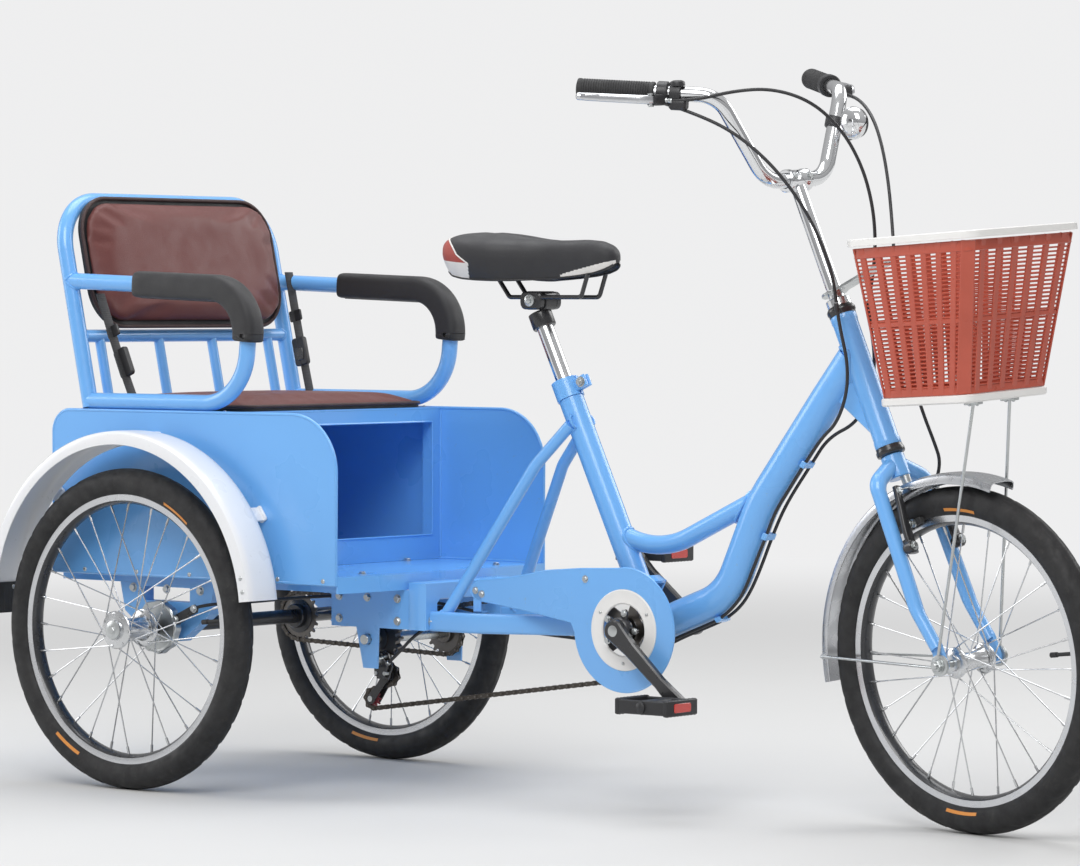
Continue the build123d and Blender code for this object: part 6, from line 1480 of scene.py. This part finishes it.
steered_up = STEERED.col[2].xyz
for side in SIDES:
    along, ahead, point = bar_end(side)
    grip = place(point(0, 0, 0), ahead, along)
    ring = [(11.3, 116), (15.6, 116), (16.8, 117.4), (16.8, 130.6), (15.6, 132), (11.3, 132)]
    lathe(grip, ring, 36, closed=True, slot=1)
    line = ((124, 12), (118, 26), (108, 37), (96, 40.5), (70, 42.5), (40, 41.5), (20, 38.5), (9, 35.5))
    route = eased([point(d, a) for d, a in line], [20] * 6, 8)
    sweep(route, rounded_section(6.6, 12, 2.6, 3), up=steered_up, twist=blade)
    lathe(place(route[-1], ahead, -along), mirrored([(0, 5), (3, 4.6), (5.2, 2.6)], (5.6, 0)), 24)
    perch = [point(128, 6, -9), point(120, 18), point(112, 31)]
    sweep(perch, rounded_section(17, 16, 4, 3), up=steered_up, slot=1)
    pivot = [(0, 0), (4, 0), (4, 2), (3, 2), (3, 17), (4.4, 17.4), (4.4, 19), (0, 19.6)]
    lathe(place(point(112, 33, -20), ahead, steered_up), pivot, 20, slot=2)
    barrel = [(0, 0), (4.6, 0), (4.6, 6), (3.4, 7), (3.4, 9), (4, 10), (4, 13), (2.6, 14), (0, 14)]
    lathe(place(point(126, 14), ahead, along), barrel, 16, slot=2)
    if side < 0:
        slab(place(point(134, 3, -15), ahead, along), rectangle(27, 17, 6), 0, 25, bevel=3, slot=1, soft=True)
        lathe(grip, collar(11.3, 16.5, 135, 151), 36, closed=True, slot=1)
        face = place(point(146, 4, 15), ahead, steered_up)
        lathe(face, [(0, 4.5), (6, 4.2), (10, 2.4), (11, 0), (11, -4), (0, -4)], 28, slot=1)
        thumb = [point(140, -8, -17), point(130, -20, -17), point(120, -27, -15)]
        sweep(thumb, rounded_section(9, 5, 2, 2), up=steered_up, slot=1)
node_piece("brake_levers", "black_plastic", "zinc")

foot, top, _ = bar_points(1)
seat = foot + (top - foot) * 0.62
turned = STEER_VIEW.to_3x3()
lathe(place(STEER_VIEW @ seat, turned @ X, turned @ (top - foot)), collar(11.2, 15, -8, 8), 32, closed=True, slot=1)
bell_spot = shifted(STEER_VIEW, seat.x + 35, seat.y, seat.z)
slab(shifted(bell_spot, x=-19, z=-9), rectangle(20, 14, 3), -3, 3, bevel=0.8, slot=1)
lathe(bell_spot, [(0, -13), (17, -13), (21.5, -10.5), (23, -5), (23, -3.4), (0, -3.4)], 48, slot=1)
dome = [(22, -3.6), (23.8, -3.4), (24, -1.4), (23.2, 2.6), (20.6, 6.8), (16.4, 9.8), (10.5, 11.9), (5, 12.7), (0, 13)]
lathe(bell_spot, dome)
lathe(bell_spot, [(0, 12.6), (2.6, 12.8), (2.2, 13.0), (0, 13.0)], 16, slot=2)
sweep(at(bell_spot, [(-6, -18, -8), (-12, -23, -8), (-18, -24, -6)]), rounded_section(7, 3, 1.2, 2), slot=1)
node_piece("bell", "black_plastic", "zinc")

# Cables: three on the steered pieces, and two that go on along the frame from beside the headset
CABLE_D = 5.0
FRONT_BRAKE_CABLE = [
    (-470.5, 1042.6, -179.1), (-437, 1040, -157), (-394, 1031, -140), (-350, 1006, -118), (-313, 966, -95),
    (-286, 915, -76), (-267, 861, -60), (-253, 806, -47), (-241, 750, -38), (-229, 694, -34),
    (-216, 640, -34), (-200, 588, -37), (-186, 545, -44), (-180, 516, -50), (-184, 498, -46),
]
REAR_BRAKE_CABLE = [
    (-470.5, 1042.6, 179.1), (-437, 1041, 157), (-392, 1052, 128), (-347, 1054, 94), (-309, 1034, 54),
    (-285, 992, 18), (-273, 940, -8), (-269, 884, -23), (-273, 830, -31), (-284, 782, -35), (-292, 748, -33),
]
GEAR_CABLE = [
    (-476.2, 1036.1, 170.9), (-440, 1021, 150), (-398, 994, 121), (-360, 954, 96), (-330, 908, 75),
    (-308, 858, 58), (-296, 808, 45), (-292, 775, 38), (-294, 748, 33),
]
UNDER_TUBES = [
    (1112, 573, 26), (1074, 552, 8), (1044, 512.5, 9), (1014, 472.5, 8), (993.5, 443, 9.5), (976.5, 407, 8),
    (955.5, 361, 9.5), (938.5, 326, 8), (920, 302.5, 9), (894, 283.5, 8), (864.5, 271.5, 9), (822.5, 255.4, 8),
    (779, 236.4, 9),
]
REAR_BRAKE_RUN = [
    (1129.5, 748.3, -28.1), (1130, 715, -31), (1138, 668, -32), (1134, 620, -31),
    *[(x, z, -y) for x, z, y in UNDER_TUBES],
    (735, 237.6, -8), (690, 240, -12), (640, 243, -15), (585, 249, -17), (530, 256, -18), (475, 264, -20),
    (420, 272, -18), (365, 280, -20), (310, 286, -17), (258, 290, -6), (215, 292, 24), (184, 291, 70),
    (160, 289, 122), (138, 286, 172), (118, 284, 214), (98, 283, 238), (78.1, 277.7, 243),
]
GEAR_RUN = [
    (1117.8, 744.2, 36.7), (1124, 708, 36), (1136, 662, 34), (1134, 616, 32),
    *UNDER_TUBES,
    (735, 237.6, 8), (690, 240, 12), (640, 244, 16), (585, 248, 22), (530, 252, 29), (475, 257, 35),
    (425, 262, 40), (386, 256, 54), (366, 236, 74), (349, 214, 83), (329.6, 198.1, 84),
]


def cable_line(name, spot, route):
    """A smooth curve with no thickness, its control points a node's own cable points."""
    curve = bpy.data.curves.new(name, "CURVE")
    curve.dimensions = "3D"
    spline = curve.splines.new("NURBS")
    spline.points.add(len(route) - 1)
    for point, place_m in zip(spline.points, at(spot, route)):
        point.co = (*place_m, 1)
    spline.order_u = 3
    spline.use_endpoint_u = True
    spline.resolution_u = 8
    return linked(name, curve)


for name, route, length in (
    ("front_brake_cable", FRONT_BRAKE_CABLE, 0.698), ("rear_brake_cable", REAR_BRAKE_CABLE, 0.523),
    ("gear_cable", GEAR_CABLE, 0.392),
):
    line = cable_line(name, STEER_VIEW, route)
    line.data.bevel_depth = CABLE_D / 2 * MM
    line.data.bevel_resolution = 3
    line.data.use_fill_caps = True
    line.data.materials.append(M["black_plastic"])
    stand_for(line, "cables_steer")
    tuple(at(STEER_VIEW, route[:1])[0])

# The two runs on the frame are held along its tubes
for route in (REAR_BRAKE_RUN, GEAR_RUN):
    line = cable_line("run_line", UPRIGHT, route)
    followed = [vertex.co.copy() for vertex in evaluated(line).vertices]
    bpy.data.objects.remove(line)
    sweep(followed, round_section(CABLE_D / 2))
cable_look = [M["black_plastic"]]
runs = piece.join("frame_cables", None, RECORD_SLOTS["cables_frame"], cable_look, replaces=["cables_frame"])
bend_top, bend_foot = at(UPRIGHT, [(1130, 735), (1124, 596)])
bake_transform(runs)
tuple(bend_top)
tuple(bend_foot)

# Ferrules at the steered ends of the runs, and guides under the main tube
for route in (REAR_BRAKE_RUN, GEAR_RUN):
    start, on = at(UPRIGHT, route[:2])
    ferrule = [(2.6, 0), (3.4, 0), (3.6, 1), (3.6, 11), (3.2, 12), (2.6, 12)]
    lathe(place(start, X, on - start), ferrule, 20, closed=True)
piece.join("cable_ferrules", "steering", "black_plastic", cable_look)
for k in (2, 5, 9):
    here, on = at(UPRIGHT, [(x, z) for x, z, _ in UNDER_TUBES[k:k + 2]])
    arch = [(-14, -3.6), (14, -3.6), (14, -1), (11.5, 3.4), (-11.5, 3.4), (-14, -1)]
    slab(place(here, Y, on - here), arch, -5, 5, bevel=0.8, slot=1)
piece.join("cable_guides", "frame", "black_plastic", [*cable_look, M["frame_paint"]])

# Stage: pale floor, soft light and the camera at the photograph's angle
FLOOR_HALF_M = 30.0
BACKDROP = (0.86, 0.86, 0.865, 1)
PLAIN_FROM_M, PLAIN_BEYOND_M = 2.2, 6.5
AIR_STRENGTH = 0.62


def seen_or_mirrored(tree):
    """A factor that is 1 for what the camera sees straight, in a mirror or through glass."""
    rays = add_node(tree, "LightPath", {}).outputs
    factor = rays["Is Camera Ray"]
    for name in ("Is Glossy Ray", "Is Transmission Ray"):
        factor = add_node(tree, "Math", {0: factor, 1: rays[name]}, operation="MAXIMUM").outputs[0]
    return factor


floor_mesh = bpy.data.meshes.new("studio_floor")
floor_corners = [(x * FLOOR_HALF_M, y * FLOOR_HALF_M, 0) for x, y in ((-1, -1), (1, -1), (1, 1), (-1, 1))]
floor_mesh.from_pydata(floor_corners, [], [(0, 1, 2, 3)])
floor_look = Finish("pale_floor", (0.62, 0.62, 0.615), 0.75)
floor_look.mottle(1.6, 0.3, (0.59, 0.59, 0.585))
tree = floor_look.tree
distance = add_node(tree, "VectorMath", {0: floor_look.place}, operation="LENGTH").outputs["Value"]
reach = {"From Min": PLAIN_FROM_M, "From Max": PLAIN_BEYOND_M, "Value": distance}
fade = add_node(tree, "MapRange", reach, interpolation_type="SMOOTHSTEP").outputs["Result"]
far_seen = add_node(tree, "Math", {0: fade, 1: seen_or_mirrored(tree)}, operation="MULTIPLY").outputs[0]
plain = add_node(tree, "Emission", {"Color": BACKDROP}).outputs["Emission"]
faded = add_node(tree, "MixShader", {0: far_seen, 1: floor_look.shader.outputs["BSDF"], 2: plain})
tree.links.new(faded.outputs["Shader"], tree.nodes["Material Output"].inputs["Surface"])
floor_mesh.materials.append(floor_look.material)
linked("studio_floor", floor_mesh)

world = bpy.data.worlds.new("studio_air")
bpy.context.scene.world = world
world.use_nodes = True
air = world.node_tree
where = add_node(air, "TexCoord", {}).outputs["Generated"]
height = add_node(air, "SeparateXYZ", {"Vector": where}).outputs["Z"]
spread = add_node(air, "MapRange", {"From Min": -1.0, "Value": height}).outputs["Result"]
sky = add_node(air, "ValToRGB", {"Fac": spread})
for position, grey in ((0.0, 0.50), (0.5, 0.50), (0.56, 0.62), (1.0, 0.95)):
    stop = sky.color_ramp.elements[0] if position == 0.0 else sky.color_ramp.elements.new(position)
    stop.position = position
    stop.color = (grey, grey, grey * 1.02, 1)
background = air.nodes["Background"]
background.inputs["Strength"].default_value = AIR_STRENGTH
air.links.new(sky.outputs["Color"], background.inputs["Color"])
backdrop = add_node(air, "Background", {"Color": BACKDROP}).outputs["Background"]
straight = add_node(air, "LightPath", {}).outputs["Is Camera Ray"]
seen = add_node(air, "MixShader", {0: straight, 1: background.outputs["Background"], 2: backdrop})
air.links.new(seen.outputs["Shader"], air.nodes["World Output"].inputs["Surface"])


def softbox(name, place_m, target_m, size_m, watts, color=(1, 1, 1)):
    lamp = bpy.data.lights.new(name, "AREA")
    lamp.shape = "RECTANGLE"
    lamp.size, lamp.size_y = size_m
    lamp.energy = watts
    lamp.color = color
    obj = linked(name, lamp)
    obj.location = place_m
    obj.rotation_euler = (Vector(target_m) - Vector(place_m)).to_track_quat("-Z", "Y").to_euler()


softbox("key_light", (1.6, -3.2, 3.6), (0, 0, 0.4), (2.6, 2.6), 120)
softbox("top_light", (-0.6, 0.6, 4.2), (0, 0, 0.4), (3.6, 2.4), 90, (0.97, 0.98, 1.0))
softbox("side_light", (-4.0, -1.8, 1.8), (-0.3, 0, 0.5), (2.0, 2.2), 45)
softbox("rim_light", (1.4, 4.0, 2.6), (0, 0, 0.5), (3.0, 1.8), 60)

CAMERA_FROM_REAR_AXLE = Vector((4.8717, -5.4502, 0.7485))
CAMERA_AZIMUTH, CAMERA_DIP, CAMERA_ROLL = radians(38.39), radians(1.65), radians(0.13)
FOCAL_PIXELS, PHOTO_WIDTH = 4634.8, 1080
camera_data = bpy.data.cameras.new("photo_camera")
camera_data.sensor_width = 36.0
camera_data.lens = FOCAL_PIXELS * camera_data.sensor_width / PHOTO_WIDTH
camera = linked("photo_camera", camera_data)
camera.location = Vector((REAR_AXLE.x, 0, 0)) + CAMERA_FROM_REAR_AXLE
look = Vector((
    -sin(CAMERA_AZIMUTH) * cos(CAMERA_DIP), cos(CAMERA_AZIMUTH) * cos(CAMERA_DIP), -sin(CAMERA_DIP),
))
camera.rotation_mode = "QUATERNION"
camera.rotation_quaternion = look.to_track_quat("-Z", "Y") @ Quaternion((0, 0, 1), CAMERA_ROLL)
bpy.context.scene.camera = camera
bpy.context.scene.view_settings.view_transform = "Standard"
